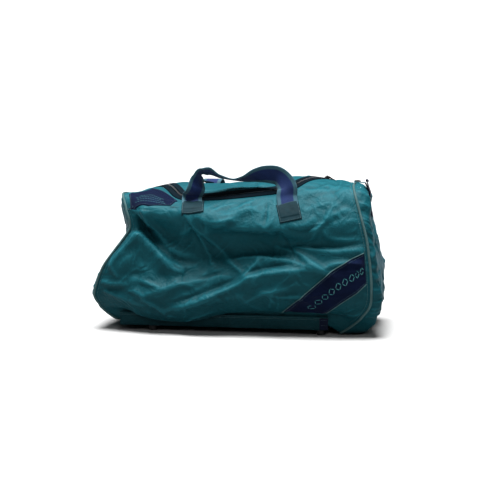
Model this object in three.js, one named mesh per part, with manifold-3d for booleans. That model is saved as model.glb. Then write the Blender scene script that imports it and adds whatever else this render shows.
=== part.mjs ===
// A sports duffel bag, empty and crumpled: a cloth body with a zipped lid, two webbing
// handles, piped round ends, and a base channel on five feet.
// Millimetres, +X along the bag, -Y to its front, +Z up, floor at Z 0.
import * as THREE from "three";
import { mergeVertices } from "three/addons/utils/BufferGeometryUtils.js";
import Module from "manifold-3d";

const wasm = await Module();
wasm.setup();

// Driving dimensions
const BAG_LENGTH = 580;
const BAG_DEPTH = 270;
const BAG_HEIGHT = 295;
const CLOTH = 1.8;
const TOUCH = 0.3;
const PIPING_RADIUS = 2.5;
const PIPING_STANDOFF = 0.5;
const SEAM_BEND_ALLOWANCE = [2.5, 0.6];
const BASE_WIDTH = 194;
const BASE_WALL = 2.5;
const BASE_RIM = 25;
const BASE_SETBACK_LEFT = 12;
const BASE_SETBACK_RIGHT = 23;
const FOOT_HEIGHT = 10.5;
const FOOT_RADIUS = 9;
const FOOT_INSET = 12;
const ZIP_BAND_WIDTH = 29;
const ZIP_COIL_WIDTH = 6;
const ZIP_CORNER_RADIUS = 30;
const STRAP_WIDTH = 40;
const STRAP_THICKNESS = 2.5;
const HANDLE_SPAN = 192;
const HANDLE_RISE = 55;
const HANDLE_DROP = 118;
const PATCH_WIDTH = 44;
const PATCH_LENGTH = 42;
const PATCH_THICKNESS = 2.2;
const BADGE_THICKNESS = 1.2;
const RING_WIRE = 4;
const RING_WIDTH = 34;
const RING_DEPTH = 27;
const TAB_WIDTH = 24;
const TAB_THICKNESS = 2.2;
const TAB_LENGTH = 66;
const TAB_SLACK = 0.8;
const TAB_GAP = 0.5;
const TAB_CLEAR = 1.75;
const SLIDER_LENGTH = 14;
const SLIDER_HEIGHT = 3;
const SLIDER_OVERHANG = 2;
const COIL_RISE = 0.8;
const HANDLE_SETBACK = 10.15;
const PATCH_BEND = 15;
const STRAP_FOOT_CLEAR = 2;
const STRAP_FOOT_LIFT = 1.2;
const STRAP_FOOT_RISE = 4;
const STRAP_FOOT_REACH = 12;

const halfLength = BAG_LENGTH / 2;
const halfDepth = BAG_DEPTH / 2;
const baseTop = FOOT_HEIGHT + BASE_WALL;
const baseHalf = BASE_WIDTH / 2 - BASE_WALL;
const bodyRise = BAG_HEIGHT - baseTop;

// The cloth is one closed wrap drawn through rails that run along the bag, from the front hem
// up, over the top and down to the back hem. A rail's depth and height are shares of the base
// channel where it lies by the channel, and shares of the bag elsewhere.
const byBase = { depth: baseHalf, rise: BASE_RIM };
const byBag = { depth: halfDepth, rise: bodyRise };
const RAILS = [
  { name: "hem", unit: byBase },
  { name: "lip", unit: byBase },
  { name: "sag", unit: byBase },
  { name: "belly", unit: byBag },
  { name: "flank", unit: byBag },
  { name: "waist", unit: byBag },
  { name: "shoulder", unit: byBag },
  { name: "zip", unit: byBag },
  { name: "ridge", unit: byBag },
  { name: "hinge", unit: byBag },
  { name: "backShoulder", unit: byBag },
  { name: "backWaist", unit: byBag },
  { name: "backBelly", unit: byBag },
  { name: "backLip", unit: byBase },
  { name: "backHem", unit: byBase },
];
const railIndex = Object.fromEntries(RAILS.map((rail, index) => [rail.name, index]));

// End seams, a row for each rail: left and right are [length, depth, height] shares, out is how
// far the end panel stands out beyond the seam, drop how far it hangs below it at the right.
const SEAMS = {
  hem: { left: [-0.86, -0.7, 0.2], right: [0.71, -0.83, -0.36], leftOut: 0.007, rightOut: 0.16, drop: 0.053 },
  lip: { left: [-0.935, -0.84, 0.84], right: [0.8, -0.95, 0.36], leftOut: 0.014, rightOut: 0.14, drop: 0.043 },
  sag: { left: [-0.975, -0.93, 1.48], right: [0.86, -1.06, 1.08], leftOut: 0.02, rightOut: 0.11, drop: 0.02 },
  belly: { left: [-1, -0.73, 0.22], right: [0.92, -0.845, 0.2], leftOut: 0.02, rightOut: 0.075, drop: 0 },
  flank: { left: [-0.924, -0.77, 0.42], right: [0.92, -0.88, 0.4], leftOut: 0.017, rightOut: 0.052, drop: 0 },
  waist: { left: [-0.75, -0.68, 0.675], right: [0.89, -0.84, 0.63], leftOut: 0.014, rightOut: 0.048, drop: 0 },
  shoulder: { left: [-0.772, -0.64, 0.815], right: [0.852, -0.78, 0.773], leftOut: 0.014, rightOut: 0.06, drop: 0 },
  zip: { left: [-0.82, -0.445, 0.918], right: [0.793, -0.563, 0.965], leftOut: 0.017, rightOut: 0.097, drop: 0 },
  ridge: { left: [-0.815, -0.03, 0.908], right: [0.776, 0, 0.996], leftOut: 0.017, rightOut: 0.103, drop: 0 },
  hinge: { left: [-0.807, 0.4, 0.883], right: [0.78, 0.4, 0.975], leftOut: 0.017, rightOut: 0.097, drop: 0 },
  backShoulder: { left: [-0.78, 0.7, 0.79], right: [0.817, 0.77, 0.82], leftOut: 0.014, rightOut: 0.062, drop: 0 },
  backWaist: { left: [-0.793, 0.815, 0.557], right: [0.872, 0.88, 0.6], leftOut: 0.014, rightOut: 0.048, drop: 0 },
  backBelly: { left: [-0.903, 0.83, 0.25], right: [0.903, 0.874, 0.26], leftOut: 0.02, rightOut: 0.062, drop: 0 },
  backLip: { left: [-0.903, 0.91, 1], right: [0.814, 0.995, 0.6], leftOut: 0.014, rightOut: 0.124, drop: 0.035 },
  backHem: { left: [-0.85, 0.74, 0.24], right: [0.717, 0.85, -0.36], leftOut: 0.007, rightOut: 0.152, drop: 0.053 },
};

// Sections between the seams: at is the share of the way along, each rail is [depth, height].
const SECTIONS = [
  {
    at: 0.09,
    hem: [-0.868, 0.16], lip: [-0.95, 1.2], sag: [-1.09, 1.48], belly: [-0.837, 0.238],
    flank: [-0.859, 0.443], waist: [-0.667, 0.677], shoulder: [-0.785, 0.816], zip: [-0.533, 0.908],
    ridge: [-0.03, 0.943], hinge: [0.4, 0.929], backShoulder: [0.77, 0.798], backWaist: [0.86, 0.557],
    backBelly: [0.933, 0.252], backLip: [0.95, 1.24], backHem: [0.88, 0.2],
  },
  {
    at: 0.21,
    hem: [-0.915, 0.16], lip: [-0.965, 1.28], sag: [-1.143, 0.56], belly: [-0.985, 0.21],
    flank: [-0.88, 0.415], waist: [-0.696, 0.613], shoulder: [-0.844, 0.794], zip: [-0.556, 0.89],
    ridge: [-0.03, 0.982], hinge: [0.4, 0.954], backShoulder: [0.815, 0.79], backWaist: [0.904, 0.55],
    backBelly: [0.978, 0.252], backLip: [0.965, 1.28], backHem: [0.915, 0.16],
  },
  {
    at: 0.36,
    hem: [-0.92, 0.16], lip: [-0.965, 1.28], sag: [-1.153, 0.44], belly: [-1.007, 0.202],
    flank: [-0.83, 0.394], waist: [-0.68, 0.578], shoulder: [-0.88, 0.787], zip: [-0.563, 0.883],
    ridge: [-0.015, 0.975], hinge: [0.4, 0.95], backShoulder: [0.844, 0.777], backWaist: [0.92, 0.535],
    backBelly: [1, 0.245], backLip: [0.965, 1.28], backHem: [0.92, 0.16],
  },
  {
    at: 0.5,
    hem: [-0.92, 0.16], lip: [-0.965, 1.24], sag: [-1.122, 1.16], belly: [-0.993, 0.238],
    flank: [-0.86, 0.415], waist: [-0.689, 0.557], shoulder: [-0.911, 0.723], zip: [-0.563, 0.9],
    ridge: [0, 0.993], hinge: [0.4, 0.961], backShoulder: [0.86, 0.777], backWaist: [0.933, 0.535],
    backBelly: [1, 0.252], backLip: [0.965, 1.28], backHem: [0.92, 0.16],
  },
  {
    at: 0.64,
    hem: [-0.92, 0.16], lip: [-0.965, 1.24], sag: [-1.11, 1.4], belly: [-0.97, 0.252],
    flank: [-0.94, 0.436], waist: [-0.733, 0.578], shoulder: [-0.911, 0.723], zip: [-0.563, 0.926],
    ridge: [0, 1.011], hinge: [0.4, 0.979], backShoulder: [0.86, 0.79], backWaist: [0.926, 0.55],
    backBelly: [0.993, 0.26], backLip: [0.965, 1.28], backHem: [0.92, 0.16],
  },
  {
    at: 0.79,
    hem: [-0.92, 0.16], lip: [-0.965, 1.24], sag: [-1.1, 1.4], belly: [-0.948, 0.245],
    flank: [-0.97, 0.422], waist: [-0.785, 0.592], shoulder: [-0.896, 0.72], zip: [-0.548, 0.96],
    ridge: [0, 1.039], hinge: [0.4, 1.01], backShoulder: [0.844, 0.805], backWaist: [0.92, 0.564],
    backBelly: [0.978, 0.26], backLip: [0.965, 1.28], backHem: [0.92, 0.16],
  },
  {
    at: 0.93,
    hem: [-0.9, 0.28], lip: [-0.955, 1.22], sag: [-1.09, 1.32], belly: [-0.896, 0.223],
    flank: [-0.94, 0.415], waist: [-0.837, 0.613], shoulder: [-0.83, 0.766], zip: [-0.57, 0.96],
    ridge: [0, 1.007], hinge: [0.4, 0.986], backShoulder: [0.807, 0.812], backWaist: [0.904, 0.578],
    backBelly: [0.933, 0.26], backLip: [0.955, 1.24], backHem: [0.9, 0.28],
  },
];

// Main folds of the front, seen from the front: through is three [length, height] shares, rise
// a share of the half depth (less than 0 for a valley), above and below its widths as shares
// of the height.
const FOLDS = [
  { name: "tent left", through: [[-0.65, 0.65], [-0.75, 0.56], [-0.89, 0.44]], rise: 0.07, above: 0.09, below: 0.12 },
  { name: "tent right", through: [[-0.64, 0.65], [-0.51, 0.51], [-0.35, 0.44]], rise: 0.08, above: 0.07, below: 0.13 },
  { name: "tent pocket", through: [[-0.68, 0.77], [-0.65, 0.72], [-0.62, 0.68]], rise: -0.08, above: 0.06, below: 0.06 },
  { name: "low left", through: [[-0.93, 0.27], [-0.79, 0.23], [-0.5, 0.12]], rise: 0.05, above: 0.06, below: 0.08 },
  { name: "middle left", through: [[-0.65, 0.27], [-0.44, 0.31], [-0.02, 0.42]], rise: 0.06, above: 0.08, below: 0.07 },
  { name: "long ridge", through: [[-0.46, 0.17], [-0.1, 0.28], [0.2, 0.4]], rise: 0.08, above: 0.07, below: 0.12 },
  { name: "long ridge right", through: [[0.1, 0.39], [0.34, 0.44], [0.65, 0.44]], rise: 0.07, above: 0.06, below: 0.12 },
  { name: "upper ridge", through: [[-0.04, 0.49], [0.28, 0.51], [0.61, 0.44]], rise: 0.05, above: 0.06, below: 0.05 },
  { name: "high ridge", through: [[0.37, 0.61], [0.61, 0.57], [0.89, 0.6]], rise: 0.05, above: 0.05, below: 0.07 },
  { name: "slant crease", through: [[-0.35, 0.8], [-0.21, 0.67], [-0.04, 0.49]], rise: 0.04, above: 0.07, below: 0.05 },
];

// Plan of the zip's middle line, as [length, depth] shares: up the left leg from the hinge, along
// the front and back along the right leg.
const ZIP_PLAN = [[-0.655, 0.34], [-0.407, -0.46], [0.366, -0.445], [0.586, 0.34]];

// Flat outlines laid on the cloth. The badge is [length, depth] shares seen from above, the
// band [length, height] shares seen from the front.
const BADGE = [[-0.775, -0.47], [-0.64, -0.13], [-0.415, -0.6], [-0.45, -0.735], [-0.6, -0.765], [-0.735, -0.7]];
const BAND = [
  [0.32, 0.16], [0.5, 0.31], [0.66, 0.45], [0.79, 0.53], [0.873, 0.57],
  [0.892, 0.37], [0.83, 0.31], [0.74, 0.25], [0.62, 0.16],
];

// Middle line of the front handle between its two ends: across is a share of half the span,
// back a share of the strap's width, up a share of the rise, facing the way the width points.
const FRONT_STRAP = [
  { across: -0.97, back: 0.15, up: 0.38, facing: [-0.8, -0.6, 0.05] },
  { across: -0.94, back: 0.38, up: 0.74, facing: [-0.4, -0.9, 0.1] },
  { across: -0.9, back: 0.52, up: 0.99, facing: [-0.1, -1, 0.2] },
  { across: -0.74, back: 0.62, up: 1.01, facing: [0, -0.9, 0.45] },
  { across: -0.52, back: 0.75, up: 0.83, facing: [0, -0.97, 0.25] },
  { across: -0.24, back: 0.9, up: 0.71, facing: [0, -1, 0.12] },
  { across: 0.02, back: 0.9, up: 0.74, facing: [0, -0.93, 0.36] },
  { across: 0.26, back: 0.8, up: 0.86, facing: [0, -0.7, 0.7] },
  { across: 0.5, back: 0.62, up: 0.92, facing: [0.15, -0.5, 0.85] },
  { across: 0.74, back: 0.38, up: 0.86, facing: [0.55, -0.4, 0.72] },
  { across: 0.93, back: 0.06, up: 0.5, facing: [0.95, -0.1, 0.3] },
];

// Middle line of the back handle, which hangs down over the back: out is a share of the
// strap's width, up a share of its drop.
const BACK_STRAP = [
  { across: -0.97, out: 0.35, up: 0.14, facing: [1, 0, 0] },
  { across: -0.95, out: 0.95, up: 0.12, facing: [1, 0, 0] },
  { across: -0.9, out: 1.3, up: -0.18, facing: [1, 0, 0.2] },
  { across: -0.62, out: 1.4, up: -0.64, facing: [0.7, 0, 0.7] },
  { across: -0.2, out: 1.42, up: -0.84, facing: [0.1, 0, 1] },
  { across: 0.2, out: 1.42, up: -0.84, facing: [-0.1, 0, 1] },
  { across: 0.62, out: 1.4, up: -0.64, facing: [-0.7, 0, 0.7] },
  { across: 0.9, out: 1.3, up: -0.18, facing: [-1, 0, 0.2] },
  { across: 0.95, out: 0.95, up: 0.12, facing: [-1, 0, 0] },
  { across: 0.97, out: 0.35, up: 0.14, facing: [-1, 0, 0] },
];

// Mesh divisions
const ZIP_LEG_STEPS = 9;
const ZIP_FRONT_STEPS = 15;
const SIDE_STEPS = 3;
const FRONT_ROWS = 19;
const BACK_ROWS = 8;
const BOTTOM_ROWS = 2;
const END_STEPS = 36;
const SEAM_REACH = 0.25;
const PIPING_STEPS = 48;
const PIPING_SIDES = 6;
const FRONT_STRAP_STEPS = 44;
const BACK_STRAP_STEPS = 36;
const WELD = 1e-4;

const clamp = (value) => Math.min(1, Math.max(0, value));
const mix = (a, b, share) => a + (b - a) * share;
const ease = (value) => clamp(value) ** 2 * (3 - 2 * clamp(value));
const vec = (x, y, z) => new THREE.Vector3(x, y, z);
const evenly = (count, from = 0, to = 1) => Array.from({ length: count + 1 }, (_, i) => mix(from, to, i / count));

// Cubic through p1 and p2 with the two end slopes given
function cubic(p1, slope1, p2, slope2, share) {
  const square = share * share;
  const cube = square * share;
  return (2 * cube - 3 * square + 1) * p1 + (cube - 2 * square + share) * slope1
    + (3 * square - 2 * cube) * p2 + (cube - square) * slope2;
}

// Stations of one rail along the bag, the two seams included
const railStations = RAILS.map((rail) => {
  const { left, right } = SEAMS[rail.name];
  const rows = [
    { at: 0, value: left.slice(1) },
    ...SECTIONS.map((section) => ({ at: section.at, value: section[rail.name] })),
    { at: 1, value: right.slice(1) },
  ];
  return { fromX: left[0] * halfLength, toX: right[0] * halfLength, unit: rail.unit, rows };
});

function alongRows(rows, at, column) {
  let index = 0;
  while (index < rows.length - 2 && at > rows[index + 1].at) index += 1;
  const slope = (k) => {
    const before = rows[Math.max(0, k - 1)];
    const after = rows[Math.min(rows.length - 1, k + 1)];
    return (after.value[column] - before.value[column]) / (after.at - before.at);
  };
  const width = rows[index + 1].at - rows[index].at;
  return cubic(
    rows[index].value[column], slope(index) * width,
    rows[index + 1].value[column], slope(index + 1) * width, (at - rows[index].at) / width,
  );
}

function railPoint(index, at) {
  const rail = railStations[(index + RAILS.length) % RAILS.length];
  return vec(
    mix(rail.fromX, rail.toX, at),
    alongRows(rail.rows, at, 0) * rail.unit.depth,
    baseTop + alongRows(rail.rows, at, 1) * rail.unit.rise,
  );
}

// Smooth closed section through a ring of points, its slopes no longer than the nearer chord
function ringPoint(points, around) {
  const count = points.length;
  const index = Math.floor(around);
  const at = (k) => points[(k + 2 * count) % count];
  const slope = (k) => {
    const reach = Math.min(at(k).distanceTo(at(k - 1)), at(k).distanceTo(at(k + 1)));
    return at(k + 1).clone().sub(at(k - 1)).setLength(reach);
  };
  const [p1, p2, slope1, slope2] = [at(index), at(index + 1), slope(index), slope(index + 1)];
  const share = around - index;
  return vec(
    cubic(p1.x, slope1.x, p2.x, slope2.x, share),
    cubic(p1.y, slope1.y, p2.y, slope2.y, share),
    cubic(p1.z, slope1.z, p2.z, slope2.z, share),
  );
}

const sectionCache = new Map();
function wrapPoint(along, around) {
  if (!sectionCache.has(along)) {
    sectionCache.set(along, RAILS.map((_, index) => railPoint(index, along)));
  }
  return ringPoint(sectionCache.get(along), around);
}

function normalOf(surface, along, around) {
  const step = 0.002;
  const a = Math.min(1 - step, Math.max(step, along));
  const acrossLength = surface(a + step, around).sub(surface(a - step, around));
  const upSection = surface(a, around + 5 * step).sub(surface(a, around - 5 * step));
  return acrossLength.cross(upSection).normalize();
}

// How far the folds lift the cloth at a place on the front
function foldLift(point) {
  let lift = 0;
  for (const fold of FOLDS) {
    const nodes = fold.through.map(([x, z]) => new THREE.Vector2(x * halfLength, z * BAG_HEIGHT));
    let best = { distance: Infinity, share: 0, over: 0 };
    for (let k = 0; k < 2; k += 1) {
      const way = nodes[k + 1].clone().sub(nodes[k]);
      const from = new THREE.Vector2(point.x, point.z).sub(nodes[k]);
      const share = clamp(from.dot(way) / way.lengthSq());
      const off = from.sub(way.multiplyScalar(share));
      if (off.length() < best.distance) {
        best = { distance: off.length(), share: (k + share) / 2, over: off.y };
      }
    }
    const width = (best.over > 0 ? fold.above : fold.below) * BAG_HEIGHT;
    const across = clamp(1 - best.distance / width) ** 2 * (1 + 2 * Math.min(1, best.distance / width));
    const ends = 0.35 + 0.65 * Math.sin(Math.PI * clamp(best.share));
    lift += fold.rise * halfDepth * across * ends;
  }
  return lift;
}

// The cloth's outer face: the wrap with the front's folds, which fade out at the seams
function clothPoint(along, around) {
  const point = wrapPoint(along, around);
  if (around <= railIndex.sag || around >= railIndex.zip) return point;
  const fade = ease(along / 0.06) * ease((1 - along) / 0.06)
    * ease(around - railIndex.sag) * ease(railIndex.zip - around);
  return point.addScaledVector(normalOf(wrapPoint, along, around), foldLift(point) * fade);
}

// The place on the top of the cloth that lies under a point, by Newton's steps from the ridge
function placeOnTop(x, y) {
  const [leftX, rightX] = [SEAMS.ridge.left[0] * halfLength, SEAMS.ridge.right[0] * halfLength];
  const place = { along: clamp((x - leftX) / (rightX - leftX)), around: railIndex.ridge };
  const step = 0.002;
  const margin = 0.001;
  for (let turn = 0; turn < 12; turn += 1) {
    const here = clothPoint(place.along, place.around);
    const byAlong = clothPoint(place.along + step, place.around).sub(here).divideScalar(step);
    const byAround = clothPoint(place.along, place.around + step).sub(here).divideScalar(step);
    const scale = byAlong.x * byAround.y - byAround.x * byAlong.y;
    const along = place.along + ((x - here.x) * byAround.y - (y - here.y) * byAround.x) / scale;
    place.along = Math.min(1 - margin, Math.max(margin, along));
    place.around += ((y - here.y) * byAlong.x - (x - here.x) * byAlong.y) / scale;
  }
  return place;
}

function geometryFrom(points, faces) {
  const geometry = new THREE.BufferGeometry();
  geometry.setAttribute("position", new THREE.Float32BufferAttribute(points.flatMap((p) => [p.x, p.y, p.z]), 3));
  geometry.setIndex(faces.flat());
  return geometry;
}

// A closed sheet from a grid of places: the outer face stands off the cloth by over, the inner
// face by under, both along the cloth's own normal.
function sheet(grid, over = 0, under = -CLOTH) {
  const rows = grid.length;
  const columns = grid[0].length;
  const points = [];
  for (const height of [over, under]) {
    for (const row of grid) {
      for (const { along, around } of row) {
        points.push(clothPoint(along, around).addScaledVector(normalOf(clothPoint, along, around), height));
      }
    }
  }
  return geometryFrom(points, sheetFaces(rows, columns, points));
}

// Faces of a sheet: each cell is split along its shorter diagonal, on both sides alike
function sheetFaces(rows, columns, points) {
  const faces = [];
  const outer = (j, i) => j * columns + i;
  const inner = (j, i) => rows * columns + outer(j, i);
  for (let j = 0; j < rows - 1; j += 1) {
    for (let i = 0; i < columns - 1; i += 1) {
      const [a, b, c, d] = [[j, i], [j, i + 1], [j + 1, i + 1], [j + 1, i]];
      const [ac, bd] = [[a, c], [b, d]].map(([from, to]) => points[outer(...from)].distanceTo(points[outer(...to)]));
      const halves = ac < bd ? [[a, b, c], [a, c, d]] : [[a, b, d], [b, c, d]];
      for (const [from, over, to] of halves) {
        faces.push([outer(...from), outer(...over), outer(...to)], [inner(...from), inner(...to), inner(...over)]);
      }
    }
  }
  const rim = [];
  for (let i = 0; i < columns - 1; i += 1) rim.push([0, i]);
  for (let j = 0; j < rows - 1; j += 1) rim.push([j, columns - 1]);
  for (let i = columns - 1; i > 0; i -= 1) rim.push([rows - 1, i]);
  for (let j = rows - 1; j > 0; j -= 1) rim.push([j, 0]);
  rim.forEach((from, k) => {
    const to = rim[(k + 1) % rim.length];
    faces.push([outer(...from), inner(...to), outer(...to)], [outer(...from), inner(...from), inner(...to)]);
  });
  return faces;
}

// Moves a place across the section by a distance
function shifted(place, distance) {
  const step = 0.01;
  const length = clothPoint(place.along, place.around + step).distanceTo(clothPoint(place.along, place.around));
  return { along: place.along, around: place.around + distance * step / length };
}

// The zip's line in plan, offset to the body side by a distance, ending on the hinge line
const zipNodes = ZIP_PLAN.map(([x, y]) => new THREE.Vector2(x * halfLength, y * halfDepth));
const hingeY = SEAMS.hinge.left[1] * halfDepth;

function zipLine(offset, endClear) {
  const ways = [0, 1, 2].map((k) => zipNodes[k + 1].clone().sub(zipNodes[k]).normalize());
  const outward = ways.map((way) => new THREE.Vector2(way.y, -way.x));
  const endY = hingeY - endClear;
  const onHinge = (node, way, out) => {
    const from = node.clone().addScaledVector(out, offset);
    return from.addScaledVector(way, (endY - from.y) / way.y);
  };
  const start = onHinge(zipNodes[0], ways[0], outward[0]);
  const finish = onHinge(zipNodes[3], ways[2], outward[2]);
  const corners = [1, 2].map((k) => {
    const turn = ways[k - 1].angleTo(ways[k]);
    const reach = ZIP_CORNER_RADIUS * Math.tan(turn / 2);
    const centre = zipNodes[k].clone().addScaledVector(ways[k - 1], -reach).addScaledVector(outward[k - 1], -ZIP_CORNER_RADIUS);
    const radius = ZIP_CORNER_RADIUS + offset;
    return evenly(4).map((share) => {
      const out = outward[k - 1].clone().rotateAround(new THREE.Vector2(), turn * share);
      return centre.clone().addScaledVector(out, radius);
    });
  });
  const straight = (from, to, count) => evenly(count).map((share) => from.clone().lerp(to, share));
  const legSteps = ZIP_LEG_STEPS - 2;
  const frontSteps = ZIP_FRONT_STEPS - 4;
  return [
    ...straight(start, corners[0][0], legSteps), ...corners[0].slice(1, 4),
    ...straight(corners[0][4], corners[1][0], frontSteps), ...corners[1].slice(1, 4),
    ...straight(corners[1][4], finish, legSteps),
  ].map((node) => placeOnTop(node.x, node.y));
}

// The first share at which a surface that leaves a seam stands clear of the piping
function clearOfPiping(at, around, pointAt) {
  const nearby = 1.2;
  const bendFactor = 1.5;
  const seam = evenly(24, around - nearby, around + nearby).map((place) => wrapPoint(at, place));
  const near = new THREE.Vector3();
  const distance = (point) => Math.min(...seam.slice(1).map((to, k) => (
    new THREE.Line3(seam[k], to).closestPointToPoint(point, true, near).distanceTo(point))));
  const bend = wrapPoint(at, around - SEAM_REACH).add(wrapPoint(at, around + SEAM_REACH)).divideScalar(2)
    .distanceTo(wrapPoint(at, around));
  const clearance = PIPING_RADIUS + PIPING_STANDOFF + Math.min(bendFactor * bend, SEAM_BEND_ALLOWANCE[at]);
  const step = 0.0005;
  let share = step;
  while (distance(pointAt(share)) < clearance) share += step;
  return share;
}
const leftInset = (around) => clearOfPiping(0, around, (share) => wrapPoint(share, around));
const rightInset = (around) => clearOfPiping(1, around, (share) => wrapPoint(1 - share, around));

const bandHalf = ZIP_BAND_WIDTH / 2;
const coilHalf = ZIP_COIL_WIDTH / 2;
const halfTouch = TOUCH / 2;
const columnCount = 2 * SIDE_STEPS + 2 * ZIP_LEG_STEPS + ZIP_FRONT_STEPS;
const evenColumns = evenly(columnCount);

// Front, back, bottom and lid
function betweenEdges(lower, upper, rows) {
  return evenly(rows).map((share) => {
    const row = lower.map((place, i) => ({
      along: mix(place.along, upper[i].along, share),
      around: mix(place.around, upper[i].around, share),
    }));
    row[0].along = leftInset(row[0].around);
    row[row.length - 1].along = 1 - rightInset(row[row.length - 1].around);
    return row;
  });
}

function frontGrid() {
  const band = zipLine(bandHalf + TOUCH, TOUCH);
  const side = (from, to) => evenly(SIDE_STEPS, from, to).map((along) => ({ along, around: railIndex.hinge }))
    .map((place) => shifted(place, -TOUCH));
  const top = [
    ...side(0, band[0].along).slice(0, -1), ...band,
    ...side(band[band.length - 1].along, 1).slice(1),
  ];
  const hem = evenColumns.map((along) => shifted({ along, around: railIndex.hem }, halfTouch));
  return betweenEdges(hem, top, FRONT_ROWS);
}

function backGrid() {
  const hinge = evenColumns.map((along) => shifted({ along, around: railIndex.hinge }, TOUCH));
  const hem = evenColumns.map((along) => shifted({ along, around: railIndex.backHem }, -halfTouch));
  return betweenEdges(hinge, hem, BACK_ROWS);
}

function bottomGrid() {
  const back = evenColumns.map((along) => shifted({ along, around: railIndex.backHem }, halfTouch));
  const front = evenColumns.map((along) => shifted({ along, around: RAILS.length }, -halfTouch));
  return betweenEdges(back, front, BOTTOM_ROWS);
}

function lidGrid() {
  const edge = zipLine(-bandHalf - TOUCH, TOUCH);
  const left = edge.slice(0, ZIP_LEG_STEPS + 1).reverse();
  const front = edge.slice(ZIP_LEG_STEPS, ZIP_LEG_STEPS + ZIP_FRONT_STEPS + 1);
  const right = edge.slice(ZIP_LEG_STEPS + ZIP_FRONT_STEPS);
  const last = ZIP_LEG_STEPS;
  return left.map((_, j) => front.map((_unused, i) => {
    const [u, v] = [i / ZIP_FRONT_STEPS, j / last];
    const place = {};
    for (const key of ["along", "around"]) {
      const hinge = mix(left[last][key], right[last][key], u);
      const corners = mix(mix(front[0][key], front[ZIP_FRONT_STEPS][key], u), hinge, v);
      place[key] = mix(left[j][key], right[j][key], u) + mix(front[i][key], hinge, v) - corners;
    }
    return place;
  }));
}

function zipStrip(inside, outside) {
  return [zipLine(outside, TOUCH), zipLine(inside, TOUCH)];
}

// End panels: a quarter round out from the seam to the cheek, then a shallow dome to the middle
const cheekShare = 0.3;
const cheekPull = 0.12;
const ENDS = {
  left: { at: 0, way: -1, middle: [0, 0.3], bulge: 8 },
  right: { at: 1, way: 1, middle: [0, 0.39], bulge: 18 },
};

// How far out the seam stands at a height, read off its front half
function seamProfile(end, z) {
  const rails = evenly(railIndex.ridge, 0, railIndex.ridge).map((around) => wrapPoint(end.at, around));
  const upper = Math.max(1, rails.findIndex((rail, k) => k > 0 && rail.z > z));
  const [low, high] = [rails[upper - 1], rails[upper]];
  return mix(low.x, high.x, clamp((z - low.z) / (high.z - low.z)));
}

function endPoint(end, around, inward) {
  const index = Math.floor(around) % RAILS.length;
  const next = (index + 1) % RAILS.length;
  const share = ease(around - Math.floor(around));
  const column = end.way > 0 ? "rightOut" : "leftOut";
  const out = mix(SEAMS[RAILS[index].name][column], SEAMS[RAILS[next].name][column], share) * halfLength;
  const drop = end.way > 0 ? mix(SEAMS[RAILS[index].name].drop, SEAMS[RAILS[next].name].drop, share) * bodyRise : 0;
  const seam = wrapPoint(end.at, around);
  const middle = vec(0, end.middle[0] * halfDepth, baseTop + end.middle[1] * bodyRise);
  const cheek = seam.clone().lerp(middle, cheekPull);
  cheek.x = seam.x + end.way * out;
  cheek.z -= drop;
  if (inward < cheekShare) {
    const turn = inward / cheekShare * Math.PI / 2;
    return vec(
      mix(seam.x, cheek.x, Math.sin(turn)),
      mix(seam.y, cheek.y, 1 - Math.cos(turn)),
      mix(seam.z, cheek.z, 1 - Math.cos(turn)),
    );
  }
  const rest = (inward - cheekShare) / (1 - cheekShare);
  const point = cheek.clone().lerp(middle, rest);
  point.x = mix(cheek.x, seamProfile(end, point.z) + end.way * end.bulge, rest * (1.5 - 0.5 * rest * rest));
  return point;
}

const END_RINGS = [cheekShare * 0.6, cheekShare, 0.5, 0.75];

function endPanel(end) {
  const start = (around) => clearOfPiping(end.at, around, (share) => endPoint(end, around, share));
  const outer = [];
  const ringCount = END_RINGS.length + 1;
  for (let ring = 0; ring < ringCount; ring += 1) {
    for (let k = 0; k < END_STEPS; k += 1) {
      const around = k / END_STEPS * RAILS.length;
      outer.push(endPoint(end, around, ring === 0 ? start(around) : END_RINGS[ring - 1]));
    }
  }
  outer.push(endPoint(end, 0, 1));
  const tip = ringCount * END_STEPS;
  const faces = [];
  const at = (ring, k) => ring * END_STEPS + k % END_STEPS;
  for (let k = 0; k < END_STEPS; k += 1) {
    for (let ring = 0; ring < ringCount - 1; ring += 1) {
      faces.push([at(ring, k), at(ring, k + 1), at(ring + 1, k + 1)], [at(ring, k), at(ring + 1, k + 1), at(ring + 1, k)]);
    }
    faces.push([at(ringCount - 1, k), at(ringCount - 1, k + 1), tip]);
  }
  const facing = faces.map((face) => (end.way < 0 ? face : face.slice().reverse()));
  return shellFrom(outer, facing, END_STEPS, end.way < 0);
}

// Thickens an open skin inward and closes its rim, whose points come first
function shellFrom(outer, faces, rimCount, forward) {
  const skin = geometryFrom(outer, faces);
  skin.computeVertexNormals();
  const normals = skin.getAttribute("normal");
  const count = outer.length;
  const inner = outer.map((point, k) => point.clone().addScaledVector(
    vec(normals.getX(k), normals.getY(k), normals.getZ(k)), -CLOTH,
  ));
  const all = [...faces, ...faces.map(([a, b, c]) => [count + a, count + c, count + b])];
  for (let k = 0; k < rimCount; k += 1) {
    const next = (k + 1) % rimCount;
    const strip = [[k, count + next, next], [k, count + k, count + next]];
    all.push(...strip.map((face) => (forward ? face : face.slice().reverse())));
  }
  return geometryFrom([...outer, ...inner], all);
}

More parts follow.
